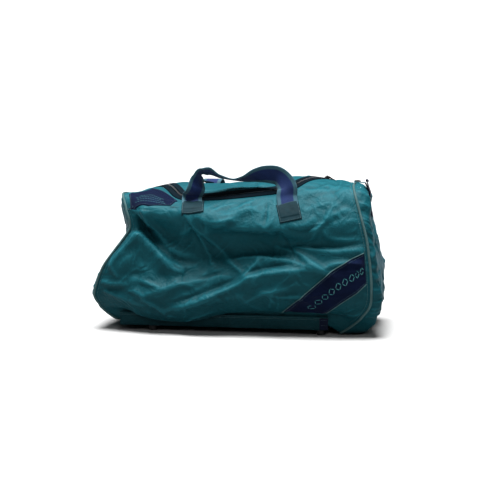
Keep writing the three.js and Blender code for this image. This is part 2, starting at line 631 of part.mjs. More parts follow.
// A closed tube of loops, each loop a list of points; closed says that it joins its own start
function loopsBody(loops, closed) {
  const sides = loops[0].length;
  const points = loops.flat();
  const faces = [];
  const at = (loop, k) => (loop % loops.length) * sides + k % sides;
  const spans = closed ? loops.length : loops.length - 1;
  for (let loop = 0; loop < spans; loop += 1) {
    for (let k = 0; k < sides; k += 1) {
      faces.push([at(loop, k), at(loop, k + 1), at(loop + 1, k + 1)], [at(loop, k), at(loop + 1, k + 1), at(loop + 1, k)]);
    }
  }
  if (!closed) {
    for (let k = 1; k < sides - 1; k += 1) {
      faces.push([at(0, 0), at(0, k + 1), at(0, k)]);
      const last = loops.length - 1;
      faces.push([at(last, 0), at(last, k), at(last, k + 1)]);
    }
  }
  return outwardFacing(geometryFrom(points, faces));
}

// Turns a closed body's faces outward if its volume comes out negative
function outwardFacing(geometry) {
  const position = geometry.getAttribute("position");
  const index = Array.from(geometry.getIndex().array);
  const corner = (k) => vec(position.getX(k), position.getY(k), position.getZ(k));
  let volume = 0;
  for (let k = 0; k < index.length; k += 3) {
    volume += corner(index[k]).dot(corner(index[k + 1]).cross(corner(index[k + 2])));
  }
  if (volume < 0) {
    for (let k = 0; k < index.length; k += 3) [index[k + 1], index[k + 2]] = [index[k + 2], index[k + 1]];
    geometry.setIndex(index);
  }
  return geometry;
}

function piping(at) {
  const ring = evenly(PIPING_STEPS, 0, RAILS.length).slice(0, -1).map((around) => wrapPoint(at, around));
  const middle = ring.reduce((sum, point) => sum.add(point), new THREE.Vector3()).divideScalar(ring.length);
  const loops = ring.map((point, k) => {
    const before = ring[(k + ring.length - 1) % ring.length];
    const after = ring[(k + 1) % ring.length];
    const way = after.clone().sub(before).normalize();
    const out = point.clone().sub(middle);
    out.addScaledVector(way, -out.dot(way)).normalize();
    const side = way.clone().cross(out);
    return evenly(PIPING_SIDES, 0, 2 * Math.PI).slice(0, -1).map((turn) => point.clone()
      .addScaledVector(out, Math.cos(turn) * PIPING_RADIUS)
      .addScaledVector(side, Math.sin(turn) * PIPING_RADIUS));
  });
  return loopsBody(loops, true);
}

// Booleans on closed geometries
function solid(geometry) {
  const bare = geometry.clone();
  bare.deleteAttribute("normal");
  bare.deleteAttribute("uv");
  const merged = outwardFacing(mergeVertices(bare, WELD));
  return new wasm.Manifold(new wasm.Mesh({
    numProp: 3,
    vertProperties: new Float32Array(merged.getAttribute("position").array),
    triVerts: new Uint32Array(merged.getIndex().array),
  }));
}

function geometryOf(manifold) {
  const mesh = manifold.getMesh();
  const geometry = new THREE.BufferGeometry();
  geometry.setAttribute("position", new THREE.BufferAttribute(mesh.vertProperties, 3));
  geometry.setIndex(new THREE.BufferAttribute(mesh.triVerts, 1));
  return geometry;
}

function prism(outline, depth) {
  return new THREE.ExtrudeGeometry(new THREE.Shape(outline), { depth, bevelEnabled: false });
}

const front = frontGrid();
const back = backGrid();

// What a tool body cuts out of a layer that lies on the cloth
function cutLayer(grid, thickness, tool) {
  const layer = sheet(grid, TOUCH + thickness, TOUCH);
  return geometryOf(solid(layer).intersect(solid(tool)));
}

function badge() {
  const lidLevel = SECTIONS[0].shoulder[1] * bodyRise + baseTop;
  const outline = BADGE.map(([x, y]) => new THREE.Vector2(x * halfLength, y * halfDepth));
  return cutLayer(front, BADGE_THICKNESS, prism(outline, BAG_HEIGHT).translate(0, 0, lidLevel));
}

function band() {
  const outline = BAND.map(([x, z]) => new THREE.Vector2(x * halfLength, z * BAG_HEIGHT));
  return cutLayer(front, BADGE_THICKNESS, prism(outline, BAG_DEPTH).rotateX(Math.PI / 2));
}

// Handle ends: the strap starts above the patch's upper edge, lying on the cloth
const handleX = (share) => HANDLE_SETBACK + share * HANDLE_SPAN / 2;
const strapLift = TOUCH + STRAP_THICKNESS / 2;

const FRONT_PATCHES = [
  { name: "handle_patch_front_left", across: -1, depth: -0.745, turn: -0.12, up: 1 },
  { name: "handle_patch_front_right", across: 1, depth: -0.79, turn: 0.06, up: 1 },
];
const BACK_PATCHES = [
  { name: "handle_patch_back_left", across: -1, depth: 0.7, turn: 0, up: -1 },
  { name: "handle_patch_back_right", across: 1, depth: 0.7, turn: 0, up: -1 },
];

// The patch's middle on the cloth, and the directions across it, up it and out of it
function patchSeat(patch) {
  const place = placeOnTop(handleX(patch.across), patch.depth * halfDepth);
  const middle = clothPoint(place.along, place.around);
  const out = normalOf(clothPoint, place.along, place.around);
  const beyond = shifted(place, patch.up * PATCH_LENGTH / 2);
  const up = clothPoint(beyond.along, beyond.around).sub(middle);
  up.addScaledVector(out, -up.dot(out)).normalize().applyAxisAngle(out, patch.turn);
  return { place, middle, up, out, across: up.clone().cross(out) };
}

function patchBody(patch, grid) {
  const { middle, up, out, across } = patchSeat(patch);
  const [halfWidth, half] = [PATCH_WIDTH / 2, PATCH_LENGTH / 2];
  const outline = [[-halfWidth, -half], [halfWidth, -half], [halfWidth, half], [-halfWidth, half]];
  const tool = prism(outline.map(([x, y]) => new THREE.Vector2(x, y)), 2 * PATCH_BEND).translate(0, 0, -PATCH_BEND)
    .applyMatrix4(new THREE.Matrix4().makeBasis(across, up, out).setPosition(middle));
  return cutLayer(grid, PATCH_THICKNESS, tool);
}

function ribbon(rows, steps) {
  const middle = new THREE.CatmullRomCurve3(rows.map((row) => row.point));
  const facing = new THREE.CatmullRomCurve3(rows.map((row) => row.facing));
  const loops = evenly(steps).map((share) => {
    const point = middle.getPoint(share);
    const way = middle.getTangent(share);
    const width = facing.getPoint(share);
    width.addScaledVector(way, -width.dot(way)).setLength(STRAP_WIDTH / 2);
    const thick = way.clone().cross(width).setLength(STRAP_THICKNESS / 2);
    return [[1, 1], [1, -1], [-1, -1], [-1, 1]].map(([a, b]) => point.clone()
      .addScaledVector(width, a).addScaledVector(thick, b));
  });
  return loopsBody(loops, false);
}

// Where the strap leaves a patch: a point past the patch's upper edge, lifted off the cloth
function strapFoot(patch, beyond, lift, facing) {
  const place = shifted(patchSeat(patch).place, patch.up * (PATCH_LENGTH / 2 + beyond));
  const normal = normalOf(clothPoint, place.along, place.around);
  const { across } = patchSeat(patch);
  return {
    point: clothPoint(place.along, place.around).addScaledVector(normal, lift),
    facing: across.multiplyScalar(facing),
  };
}

function strapRows(patches, table, facing, pointOf) {
  const low = patches.map((patch, k) => strapFoot(patch, STRAP_FOOT_CLEAR, strapLift + STRAP_FOOT_LIFT, facing[k]));
  const middle = low[0].point.clone().lerp(low[1].point, 0.5);
  const rows = table.map((row) => ({ point: pointOf(row, middle), facing: vec(...row.facing) }));
  return { low, rows };
}

function frontHandle() {
  const facing = [-1, 1];
  const { low, rows } = strapRows(FRONT_PATCHES, FRONT_STRAP, facing, (row, middle) => vec(
    handleX(row.across), middle.y + row.back * STRAP_WIDTH, middle.z + row.up * HANDLE_RISE,
  ));
  const high = FRONT_PATCHES.map((patch, k) => strapFoot(patch, STRAP_FOOT_REACH, strapLift + STRAP_FOOT_RISE, facing[k]));
  return ribbon([low[0], high[0], ...rows, high[1], low[1]], FRONT_STRAP_STEPS);
}

function backHandle() {
  const { low, rows } = strapRows(BACK_PATCHES, BACK_STRAP, [1, -1], (row, middle) => vec(
    handleX(row.across), middle.y + row.out * STRAP_WIDTH, middle.z + row.up * HANDLE_DROP,
  ));
  return ribbon([low[0], ...rows, low[1]], BACK_STRAP_STEPS);
}

// Base channel and feet
const baseLeft = SEAMS.hem.left[0] * halfLength + BASE_SETBACK_LEFT;
const baseRight = SEAMS.hem.right[0] * halfLength - BASE_SETBACK_RIGHT;

function baseChannel() {
  const outer = BASE_WIDTH / 2;
  const inner = outer - BASE_WALL;
  const profile = [
    [-outer, FOOT_HEIGHT], [outer, FOOT_HEIGHT], [outer, baseTop + BASE_RIM], [inner, baseTop + BASE_RIM],
    [inner, baseTop], [-inner, baseTop], [-inner, baseTop + BASE_RIM], [-outer, baseTop + BASE_RIM],
  ].map(([y, z]) => new THREE.Vector2(y, z));
  return prism(profile, baseRight - baseLeft).applyMatrix4(new THREE.Matrix4().makeBasis(
    vec(0, 1, 0), vec(0, 0, 1), vec(1, 0, 0),
  )).translate(baseLeft, 0, 0);
}

function foot() {
  const top = FOOT_HEIGHT - TOUCH;
  const profile = [[0, 0], [0.85, 0], [1, 0.25], [0.9, 1], [0, 1]];
  return new THREE.LatheGeometry(profile.map(([r, z]) => new THREE.Vector2(r * FOOT_RADIUS, z * top)), 12)
    .rotateX(Math.PI / 2);
}

// D-rings and their webbing tabs. The ring's own frame: straight bar along Y through the
// origin, bow towards +X.
function dRing() {
  const wire = RING_WIRE / 2;
  const side = RING_WIDTH / 2 - wire;
  const bowReach = side * 0.75;
  const bow = RING_DEPTH - RING_WIRE - bowReach;
  const upper = [
    [0, side * 0.5], [0, side * 0.85], [wire, side], [bow, side * 0.92], [bow + side * 0.55, side * 0.55],
  ];
  const lower = upper.map(([x, y]) => [x, -y]).reverse();
  const bend = new THREE.CatmullRomCurve3(
    [[0, 0], ...upper, [bow + bowReach, 0], ...lower].map(([x, y]) => vec(x, y, 0)), true, "centripetal",
  );
  const loops = evenly(24).slice(0, -1).map((share) => {
    const point = bend.getPoint(share);
    const out = bend.getTangent(share).cross(vec(0, 0, 1)).normalize();
    return evenly(8, 0, 2 * Math.PI).slice(0, -1).map((turn) => point.clone()
      .addScaledVector(out, Math.cos(turn) * wire).add(vec(0, 0, Math.sin(turn) * wire)));
  });
  return loopsBody(loops, true);
}

const RING_SEATS = {
  right: { end: ENDS.right, ringY: -8, rise: 14.5, away: 0 },
  left: { end: ENDS.left, ringY: 28, rise: -4, away: 8 },
};

const ringSeatShare = 0.62;

function ringSeat(seat) {
  const cheek = endPoint(seat.end, railIndex.ridge, ringSeatShare * cheekShare);
  return vec(cheek.x + seat.end.way * seat.away, seat.ringY, cheek.z + seat.rise);
}

// The tab: a loop of webbing round the ring's bar, with one tail down the end panel
const tailShare = 0.72;
const tailRows = 4;

function ringTab(seat) {
  const centre = ringSeat(seat);
  const hole = RING_WIRE / 2 + TAB_SLACK;
  const loop = hole + TAB_THICKNESS;
  const way = seat.end.way;
  const skin = evenly(30, -1.5, 1.5).flatMap((off) => {
    const rings = END_RINGS.map((inward) => endPoint(seat.end, railIndex.ridge + off, inward));
    return rings.slice(1).flatMap((to, k) => evenly(40).map((share) => rings[k].clone().lerp(to, share)));
  }).filter((point) => Math.abs(point.y - seat.ringY) < 0.7 * TAB_WIDTH);
  const topZ = endPoint(seat.end, railIndex.ridge, cheekShare * 0.9).z;
  const nearby = TAB_WIDTH / 12;
  const tail = evenly(tailRows, topZ, topZ - TAB_LENGTH * tailShare).map((z) => {
    const level = skin.filter((point) => Math.abs(point.z - z) < nearby).map((point) => way * point.x);
    return new THREE.Vector2(way * (Math.max(...level) + TAB_GAP), z);
  });
  const outerTail = tail.map((point) => new THREE.Vector2(point.x + way * TAB_THICKNESS, point.y));
  const strip = prism([...outerTail, ...tail.slice().reverse()], TAB_WIDTH);
  const neck = prism([
    new THREE.Vector2(centre.x + way * loop * 0.95, centre.z), outerTail[1], tail[1], tail[0],
    new THREE.Vector2(centre.x - way * loop * 0.1, centre.z - loop * 0.9),
  ], TAB_WIDTH);
  const collar = new THREE.CylinderGeometry(loop, loop, TAB_WIDTH, 14).rotateX(Math.PI / 2)
    .translate(centre.x, centre.z, TAB_WIDTH / 2);
  const bore = new THREE.CylinderGeometry(hole, hole, 2 * TAB_WIDTH, 14).rotateX(Math.PI / 2)
    .translate(centre.x, centre.z, TAB_WIDTH / 2);
  const body = solid(strip).add(solid(neck)).add(solid(collar)).subtract(solid(bore));
  return geometryOf(body).rotateX(Math.PI / 2).translate(0, centre.y + TAB_WIDTH / 2, 0);
}

// Zip slider, parked at the back end of the right leg
function zipSlider() {
  const place = zipLine(0, TOUCH + SLIDER_LENGTH)[2 * ZIP_LEG_STEPS + ZIP_FRONT_STEPS];
  const normal = normalOf(clothPoint, place.along, place.around);
  const lift = COIL_RISE + TOUCH + SLIDER_HEIGHT / 2;
  const body = new THREE.BoxGeometry(ZIP_COIL_WIDTH + 2 * SLIDER_OVERHANG, SLIDER_LENGTH, SLIDER_HEIGHT);
  body.applyQuaternion(new THREE.Quaternion().setFromUnitVectors(vec(0, 0, 1), normal));
  const seat = clothPoint(place.along, place.around).addScaledVector(normal, lift);
  return body.translate(seat.x, seat.y, seat.z);
}

// A small webbing loop sewn at the right end of the base
function baseTab() {
  const [width, height] = [0.7 * TAB_WIDTH, 0.9 * BASE_RIM];
  const middle = FOOT_HEIGHT + TAB_CLEAR + height / 2;
  return new THREE.BoxGeometry(width, TAB_THICKNESS, height)
    .translate(baseRight - width / 2, -BASE_WIDTH / 2 - TOUCH - TAB_THICKNESS / 2, middle);
}

const COLOURS = {
  cloth: { color: 0x14525a, roughness: 0.62, metalness: 0 },
  navy: { color: 0x1a1f4a, roughness: 0.8, metalness: 0 },
  trim: { color: 0x4d6f74, roughness: 0.6, metalness: 0 },
  coil: { color: 0x12151f, roughness: 0.5, metalness: 0 },
  steel: { color: 0xc9ccce, roughness: 0.2, metalness: 1 },
  rubber: { color: 0x101314, roughness: 0.7, metalness: 0 },
};

const bag = new THREE.Group();
function add(name, geometry, colour) {
  const mesh = new THREE.Mesh(geometry, new THREE.MeshStandardMaterial(COLOURS[colour]));
  mesh.name = name;
  bag.add(mesh);
  return mesh;
}

add("front_panel", sheet(front), "cloth");
add("back_panel", sheet(back), "cloth");
add("lid_panel", sheet(lidGrid()), "cloth");
add("bottom_panel", sheet(bottomGrid()), "cloth");
add("end_panel_left", endPanel(ENDS.left), "cloth");
add("end_panel_right", endPanel(ENDS.right), "cloth");
add("piping_left", piping(0), "trim");
add("piping_right", piping(1), "trim");
add("zip_tape_body", sheet(zipStrip(coilHalf + TOUCH, bandHalf)), "navy");
add("zip_tape_lid", sheet(zipStrip(-bandHalf, -coilHalf - TOUCH)), "navy");
add("zip_coil", sheet(zipStrip(-coilHalf, coilHalf), COIL_RISE), "coil");
add("zip_slider", zipSlider(), "steel");
add("base_channel", baseChannel(), "cloth");
add("base_tab", baseTab(), "navy");
add("handle_front", frontHandle(), "navy");
add("handle_back", backHandle(), "navy");
for (const patch of FRONT_PATCHES) add(patch.name, patchBody(patch, front), "trim");
for (const patch of BACK_PATCHES) add(patch.name, patchBody(patch, back), "trim");
add("corner_badge", badge(), "navy");
add("corner_band", band(), "navy");

const FEET = [
  { name: "foot_front_left", x: -0.595, y: -1 },
  { name: "foot_front_right", x: 0.58, y: -1 },
  { name: "foot_back_left", x: -0.595, y: 1 },
  { name: "foot_back_right", x: 0.58, y: 1 },
  { name: "foot_left_end", x: -0.775, y: -0.25 },
];
for (const { name, x, y } of FEET) {
  const mesh = add(name, foot(), "rubber");
  mesh.position.set(x * halfLength, y * (BASE_WIDTH / 2 - BASE_WALL - FOOT_INSET), 0);
}

for (const [side, seat] of Object.entries(RING_SEATS)) {
  const centre = ringSeat(seat);
  const ring = add(`d_ring_${side}`, dRing(), "steel");
  ring.position.copy(centre);
  ring.rotation.y = side === "right" ? Math.PI : Math.PI / 2;
  add(`ring_tab_${side}`, ringTab(seat), "navy");
}

// The group stands with the middle of its footprint at the origin
const box = new THREE.Box3().setFromObject(bag);
bag.position.set(-(box.min.x + box.max.x) / 2, -(box.min.y + box.max.y) / 2, -box.min.z);

export default bag;
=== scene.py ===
"""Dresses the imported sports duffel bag: crumpled nylon, piped ends, zip, webbing, feet and rings.

Shapes are worked out in millimetres in the bag's own frame, +X along it, -Y to its front, +Z up,
floor at 0. They move to the row frame, in metres, when their mesh is made.
"""
import math

import bpy
import numpy as np
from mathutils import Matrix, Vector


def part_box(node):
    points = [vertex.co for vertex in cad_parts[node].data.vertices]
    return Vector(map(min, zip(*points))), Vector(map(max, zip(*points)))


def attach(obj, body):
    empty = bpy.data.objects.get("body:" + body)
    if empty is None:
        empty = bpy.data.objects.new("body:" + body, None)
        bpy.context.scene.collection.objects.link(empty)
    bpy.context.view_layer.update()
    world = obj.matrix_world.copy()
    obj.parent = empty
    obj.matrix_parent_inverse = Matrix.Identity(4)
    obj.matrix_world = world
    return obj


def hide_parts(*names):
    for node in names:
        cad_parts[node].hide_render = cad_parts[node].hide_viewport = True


bl_info = {
    "name": "Sports duffel bag",
    "version": (1, 0, 0),
    "blender": (4, 5, 0),
    "location": "3D View > Sidebar > Bag",
    "description": "Makes a crumpled nylon duffel bag around its packed frame",
    "category": "Add Mesh",
}

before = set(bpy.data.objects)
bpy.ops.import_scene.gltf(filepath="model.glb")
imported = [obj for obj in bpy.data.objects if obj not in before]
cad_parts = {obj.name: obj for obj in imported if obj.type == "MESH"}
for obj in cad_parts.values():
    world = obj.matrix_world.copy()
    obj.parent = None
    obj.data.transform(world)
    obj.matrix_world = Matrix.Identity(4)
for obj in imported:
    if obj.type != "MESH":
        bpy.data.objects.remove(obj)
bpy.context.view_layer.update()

# Sizes of the bag, in millimetres
HALF_LENGTH = 290.0
HALF_DEPTH = 135.0
HEIGHT = 295.0
BASE_TOP = 13.0
BASE_HALF = 94.5
BASE_WALL = 2.5
BASE_RIM = 25.0
BASE_CORNER = 3.0
BASE_ENDS = (-237.4, 182.9)
FOOT_RADIUS = 9.0
FOOT_HEIGHT = 10.5
RISE = HEIGHT - BASE_TOP
TOUCH = 0.3
PIPING_RADIUS = 2.5
BAND_HALF = 14.5
COIL_HALF = 3.0
STRAP_WIDTH = 40.0
STRAP_THICKNESS = 2.5
HANDLE_MIDDLE = 10.15
HANDLE_SPAN = 192.0
HANDLE_RISE = 55.0
HANDLE_DROP = 118.0
STRAP_STEPS = 360
CLOSE_STITCHES = 0.8
PATCH_WIDTH = 44.0
PATCH_LENGTH = 42.0
PATCH_THICKNESS = 2.2
RING_WIRE = 2.0
RING_WIDTH = 34.0
RING_DEPTH = 27.0
TAB_WIDTH = 24.0
TAB_THICKNESS = 2.2
TAB_SLACK = 0.8

# The rails that the cloth is drawn through, from the front hem over the top to the back hem
HEM, LIP, SAG, BELLY, FLANK, WAIST, SHOULDER, ZIP, RIDGE, HINGE = range(10)
BACK_SHOULDER, BACK_WAIST, BACK_BELLY, BACK_LIP, BACK_HEM = range(10, 15)
RAIL_COUNT = 15
BY_BASE = (HEM, LIP, SAG, BACK_LIP, BACK_HEM)

# Each rail's left and right end as shares of length, depth and height
SEAM_LEFT = [
    (-0.86, -0.7, 0.2), (-0.935, -0.84, 0.84), (-0.975, -0.93, 1.48), (-1, -0.73, 0.22),
    (-0.924, -0.77, 0.42), (-0.75, -0.68, 0.675), (-0.772, -0.64, 0.815), (-0.82, -0.445, 0.918),
    (-0.815, -0.03, 0.908), (-0.807, 0.4, 0.883), (-0.78, 0.7, 0.79), (-0.793, 0.815, 0.557),
    (-0.903, 0.83, 0.25), (-0.903, 0.91, 1), (-0.85, 0.74, 0.24),
]
SEAM_RIGHT = [
    (0.71, -0.83, -0.36), (0.8, -0.95, 0.36), (0.86, -1.06, 1.08), (0.92, -0.845, 0.2), (0.92, -0.88, 0.4),
    (0.89, -0.84, 0.63), (0.852, -0.78, 0.773), (0.793, -0.563, 0.965), (0.776, 0, 0.996), (0.78, 0.4, 0.975),
    (0.817, 0.77, 0.82), (0.872, 0.88, 0.6), (0.903, 0.874, 0.26), (0.814, 0.995, 0.6), (0.717, 0.85, -0.36),
]

# How far each end panel stands out past its seam at each rail, as a share of half the length,
# and how far it drops there, as a share of the rise
LEFT_OUT = [
    0.007, 0.014, 0.02, 0.02, 0.017, 0.014, 0.014, 0.017, 0.017, 0.017, 0.014, 0.014, 0.02, 0.014, 0.007,
]
LEFT_DROP = [0] * RAIL_COUNT
RIGHT_OUT = [
    0.16, 0.14, 0.11, 0.075, 0.052, 0.048, 0.06, 0.097, 0.103, 0.097, 0.062, 0.048, 0.062, 0.124, 0.152,
]
RIGHT_DROP = [0.053, 0.043, 0.02, 0, 0, 0, 0, 0, 0, 0, 0, 0, 0, 0.035, 0.053]

# Depth and height shares of each rail at shares of the way along
SECTIONS = {
    0.09: [
        (-0.868, 0.16), (-0.95, 1.2), (-1.09, 1.48), (-0.837, 0.238), (-0.859, 0.443), (-0.667, 0.677),
        (-0.785, 0.816), (-0.533, 0.908), (-0.03, 0.943), (0.4, 0.929), (0.77, 0.798), (0.86, 0.557),
        (0.933, 0.252), (0.95, 1.24), (0.88, 0.2),
    ],
    0.21: [
        (-0.915, 0.16), (-0.965, 1.28), (-1.143, 0.56), (-0.985, 0.21), (-0.88, 0.415), (-0.696, 0.613),
        (-0.844, 0.794), (-0.556, 0.89), (-0.03, 0.982), (0.4, 0.954), (0.815, 0.79), (0.904, 0.55),
        (0.978, 0.252), (0.965, 1.28), (0.915, 0.16),
    ],
    0.36: [
        (-0.92, 0.16), (-0.965, 1.28), (-1.153, 0.44), (-1.007, 0.202), (-0.83, 0.394), (-0.68, 0.578),
        (-0.88, 0.787), (-0.563, 0.883), (-0.015, 0.975), (0.4, 0.95), (0.844, 0.777), (0.92, 0.535),
        (1, 0.245), (0.965, 1.28), (0.92, 0.16),
    ],
    0.5: [
        (-0.92, 0.16), (-0.965, 1.24), (-1.122, 1.16), (-0.993, 0.238), (-0.86, 0.415), (-0.689, 0.557),
        (-0.911, 0.723), (-0.563, 0.9), (0, 0.993), (0.4, 0.961), (0.86, 0.777), (0.933, 0.535),
        (1, 0.252), (0.965, 1.28), (0.92, 0.16),
    ],
    0.64: [
        (-0.92, 0.16), (-0.965, 1.24), (-1.11, 1.4), (-0.97, 0.252), (-0.94, 0.436), (-0.733, 0.578),
        (-0.911, 0.723), (-0.563, 0.926), (0, 1.011), (0.4, 0.979), (0.86, 0.79), (0.926, 0.55),
        (0.993, 0.26), (0.965, 1.28), (0.92, 0.16),
    ],
    0.79: [
        (-0.92, 0.16), (-0.965, 1.24), (-1.1, 1.4), (-0.948, 0.245), (-0.97, 0.422), (-0.785, 0.592),
        (-0.896, 0.72), (-0.548, 0.96), (0, 1.039), (0.4, 1.01), (0.844, 0.805), (0.92, 0.564),
        (0.978, 0.26), (0.965, 1.28), (0.92, 0.16),
    ],
    0.93: [
        (-0.9, 0.28), (-0.955, 1.22), (-1.09, 1.32), (-0.896, 0.223), (-0.94, 0.415), (-0.837, 0.613),
        (-0.83, 0.766), (-0.57, 0.96), (0, 1.007), (0.4, 0.986), (0.807, 0.812), (0.904, 0.578),
        (0.933, 0.26), (0.955, 1.24), (0.9, 0.28),
    ],
}

# Folds of the front: three places as shares of half the length and of the height, then in
# millimetres the rise (less than 0 for a valley), the spread above and below, and the crest's
# roundness, then how much of the rise is kept at each end.
FRONT_FOLDS = [
    ((-0.69, 0.65), (-0.76, 0.56), (-0.90, 0.44), 11, 24, 40, 1.2, (0.8, 0.2)),
    ((-0.69, 0.65), (-0.60, 0.60), (-0.50, 0.50), 15, 13, 34, 0.9, (0.9, 0.6)),
    ((-0.50, 0.50), (-0.43, 0.44), (-0.34, 0.41), 9, 15, 26, 1.2, (0.9, 0.0)),
    ((-0.715, 0.79), (-0.64, 0.69), (-0.53, 0.57), -17, 15, 11, 1.6, (0.2, 0.3)),
    ((-0.64, 0.82), (-0.58, 0.72), (-0.48, 0.60), 7, 13, 13, 1.4, (0.6, 0.1)),
    ((-0.93, 0.28), (-0.79, 0.24), (-0.62, 0.19), 7, 15, 18, 1.4, (0.2, 0.2)),
    ((-0.62, 0.235), (-0.52, 0.18), (-0.45, 0.10), 8, 12, 16, 1.0, (0.3, 0.0)),
    ((-0.65, 0.26), (-0.44, 0.31), (-0.02, 0.42), 7, 22, 15, 2.0, (0.2, 0.1)),
    ((-0.47, 0.165), (-0.16, 0.26), (0.12, 0.39), 12, 15, 34, 1.0, (0.3, 0.8)),
    ((-0.44, 0.21), (-0.20, 0.29), (0.02, 0.39), -6, 11, 9, 2.0, (0.1, 0.2)),
    ((0.10, 0.385), (0.34, 0.44), (0.64, 0.445), 8, 16, 30, 1.2, (0.8, 0.1)),
    ((0.10, 0.42), (0.28, 0.48), (0.46, 0.48), -6, 9, 9, 1.2, (0.1, 0.0)),
    ((-0.05, 0.49), (0.28, 0.51), (0.62, 0.44), 7, 13, 12, 1.0, (0.4, 0.1)),
    ((0.26, 0.60), (0.45, 0.54), (0.62, 0.44), 6, 11, 12, 0.9, (0.1, 0.2)),
    ((0.36, 0.61), (0.61, 0.57), (0.90, 0.60), 8, 13, 18, 1.1, (0.2, 0.5)),
    ((-0.06, 0.49), (0.0, 0.46), (0.06, 0.42), 5, 9, 9, 0.7, (0.3, 0.1)),
    ((0.06, 0.39), (0.12, 0.45), (0.19, 0.51), 6, 9, 9, 0.7, (0.2, 0.1)),
    ((-0.36, 0.82), (-0.21, 0.67), (-0.03, 0.49), 7, 16, 13, 1.0, (0.5, 0.2)),
    ((-0.30, 0.78), (-0.24, 0.64), (-0.17, 0.50), 5, 9, 11, 0.8, (0.4, 0.1)),
    ((-0.52, 0.56), (-0.40, 0.50), (-0.24, 0.49), -7, 12, 12, 2.0, (0.2, 0.0)),
    ((-0.20, 0.70), (0.10, 0.66), (0.34, 0.66), -9, 18, 20, 4.0, (0.1, 0.1)),
    ((0.47, 0.84), (0.57, 0.885), (0.67, 0.885), 4, 8, 10, 0.9, (0.1, 0.3)),
    ((0.66, 0.885), (0.64, 0.83), (0.60, 0.79), 6, 9, 10, 0.9, (0.5, 0.1)),
    ((-0.10, 0.80), (0.08, 0.83), (0.20, 0.90), 6, 9, 11, 0.8, (0.1, 0.2)),
    ((-0.28, 0.80), (-0.12, 0.76), (0.04, 0.80), 6, 9, 14, 1.0, (0.2, 0.2)),
    ((0.34, 0.74), (0.46, 0.70), (0.56, 0.76), -6, 12, 12, 1.6, (0.1, 0.1)),
    ((0.60, 0.72), (0.68, 0.66), (0.84, 0.66), 6, 11, 12, 1.0, (0.2, 0.3)),
    ((0.52, 0.66), (0.62, 0.78), (0.78, 0.86), 5, 9, 10, 0.9, (0.2, 0.2)),
    ((0.62, 0.47), (0.74, 0.50), (0.88, 0.49), 6, 10, 10, 0.9, (0.3, 0.2)),
    ((-0.95, 0.36), (-0.86, 0.33), (-0.74, 0.34), 5, 9, 10, 0.9, (0.3, 0.0)),
    ((-0.66, 0.36), (-0.58, 0.34), (-0.50, 0.31), 5, 8, 9, 0.8, (0.2, 0.0)),
    ((-0.30, 0.12), (-0.05, 0.16), (0.20, 0.15), 5, 14, 16, 2.0, (0.1, 0.1)),
    ((0.05, 0.22), (0.22, 0.30), (0.40, 0.33), 4, 10, 12, 1.0, (0.1, 0.1)),
]

# The zip's middle line seen from above, as shares of half the length and of half the depth
ZIP_PLAN = np.array([(-0.655, 0.34), (-0.407, -0.46), (0.366, -0.445), (0.586, 0.34)])
ZIP_CORNER_RADIUS = 30.0
ZIP_PARTS = (9, 15, 9)
SIDE_PARTS = 3
FINENESS = 8

# Two edges of the badge seen from above, and of the band seen from the front
BADGE_BACK = [(-0.775, -0.47), (-0.64, -0.13), (-0.415, -0.6)]
BADGE_FRONT = [(-0.735, -0.7), (-0.6, -0.765), (-0.45, -0.735)]
BAND_UPPER = [(0.32, 0.16), (0.5, 0.31), (0.66, 0.45), (0.79, 0.53), (0.873, 0.57)]
BAND_LOWER = [(0.62, 0.16), (0.68, 0.205), (0.74, 0.25), (0.83, 0.31), (0.892, 0.37)]

# Handle paths between their two ends: across, back or out, up, and the way the width points
FRONT_STRAP = [
    (-0.97, 0.15, 0.38, (-0.8, -0.6, 0.05)), (-0.94, 0.38, 0.74, (-0.4, -0.9, 0.1)),
    (-0.9, 0.52, 0.99, (-0.1, -1, 0.2)), (-0.74, 0.62, 1.01, (0, -0.9, 0.45)),
    (-0.52, 0.75, 0.83, (0, -0.97, 0.25)), (-0.24, 0.9, 0.71, (0, -1, 0.12)),
    (0.02, 0.9, 0.74, (0, -0.93, 0.36)), (0.26, 0.8, 0.86, (0, -0.7, 0.7)),
    (0.5, 0.62, 0.92, (0.15, -0.5, 0.85)), (0.74, 0.38, 0.86, (0.55, -0.4, 0.72)),
    (0.93, 0.06, 0.5, (0.95, -0.1, 0.3)),
]
BACK_STRAP = [
    (-0.97, 0.35, 0.14, (1, 0, 0)), (-0.95, 0.95, 0.12, (1, 0, 0)), (-0.9, 1.3, -0.18, (1, 0, 0.2)),
    (-0.62, 1.4, -0.64, (0.7, 0, 0.7)), (-0.2, 1.42, -0.84, (0.1, 0, 1)), (0.2, 1.42, -0.84, (-0.1, 0, 1)),
    (0.62, 1.4, -0.64, (-0.7, 0, 0.7)), (0.9, 1.3, -0.18, (-1, 0, 0.2)), (0.95, 0.95, 0.12, (-1, 0, 0)),
    (0.97, 0.35, 0.14, (-1, 0, 0)),
]

# Patches: name, side of the handle, depth share, turn, and which way the strap leaves
PATCHES = [
    ("handle_patch_front_left", -1, -0.745, -0.12, 1),
    ("handle_patch_front_right", 1, -0.79, 0.06, 1),
    ("handle_patch_back_left", -1, 0.7, 0.0, -1),
    ("handle_patch_back_right", 1, 0.7, 0.0, -1),
]

FEET = {
    "foot_front_left": (-0.595, -1.0),
    "foot_front_right": (0.58, -1.0),
    "foot_back_left": (-0.595, 1.0),
    "foot_back_right": (0.58, 1.0),
    "foot_left_end": (-0.775, -0.25),
}
FOOT_LINE = BASE_HALF - 12.0
FOOT_SIDES = 48

# A foot's outline from the middle of its sole to the edge of its top, as shares of its radius
# and height
FOOT_PROFILE = np.array([
    (0.3, 0), (0.34, 0.08), (0.42, 0.08), (0.46, 0), (0.78, 0), (0.88, 0.03), (0.96, 0.12),
    (1.0, 0.25), (0.985, 0.4), (0.93, 0.8), (0.91, 0.93), (0.95, 0.97), (0.95, 1),
])

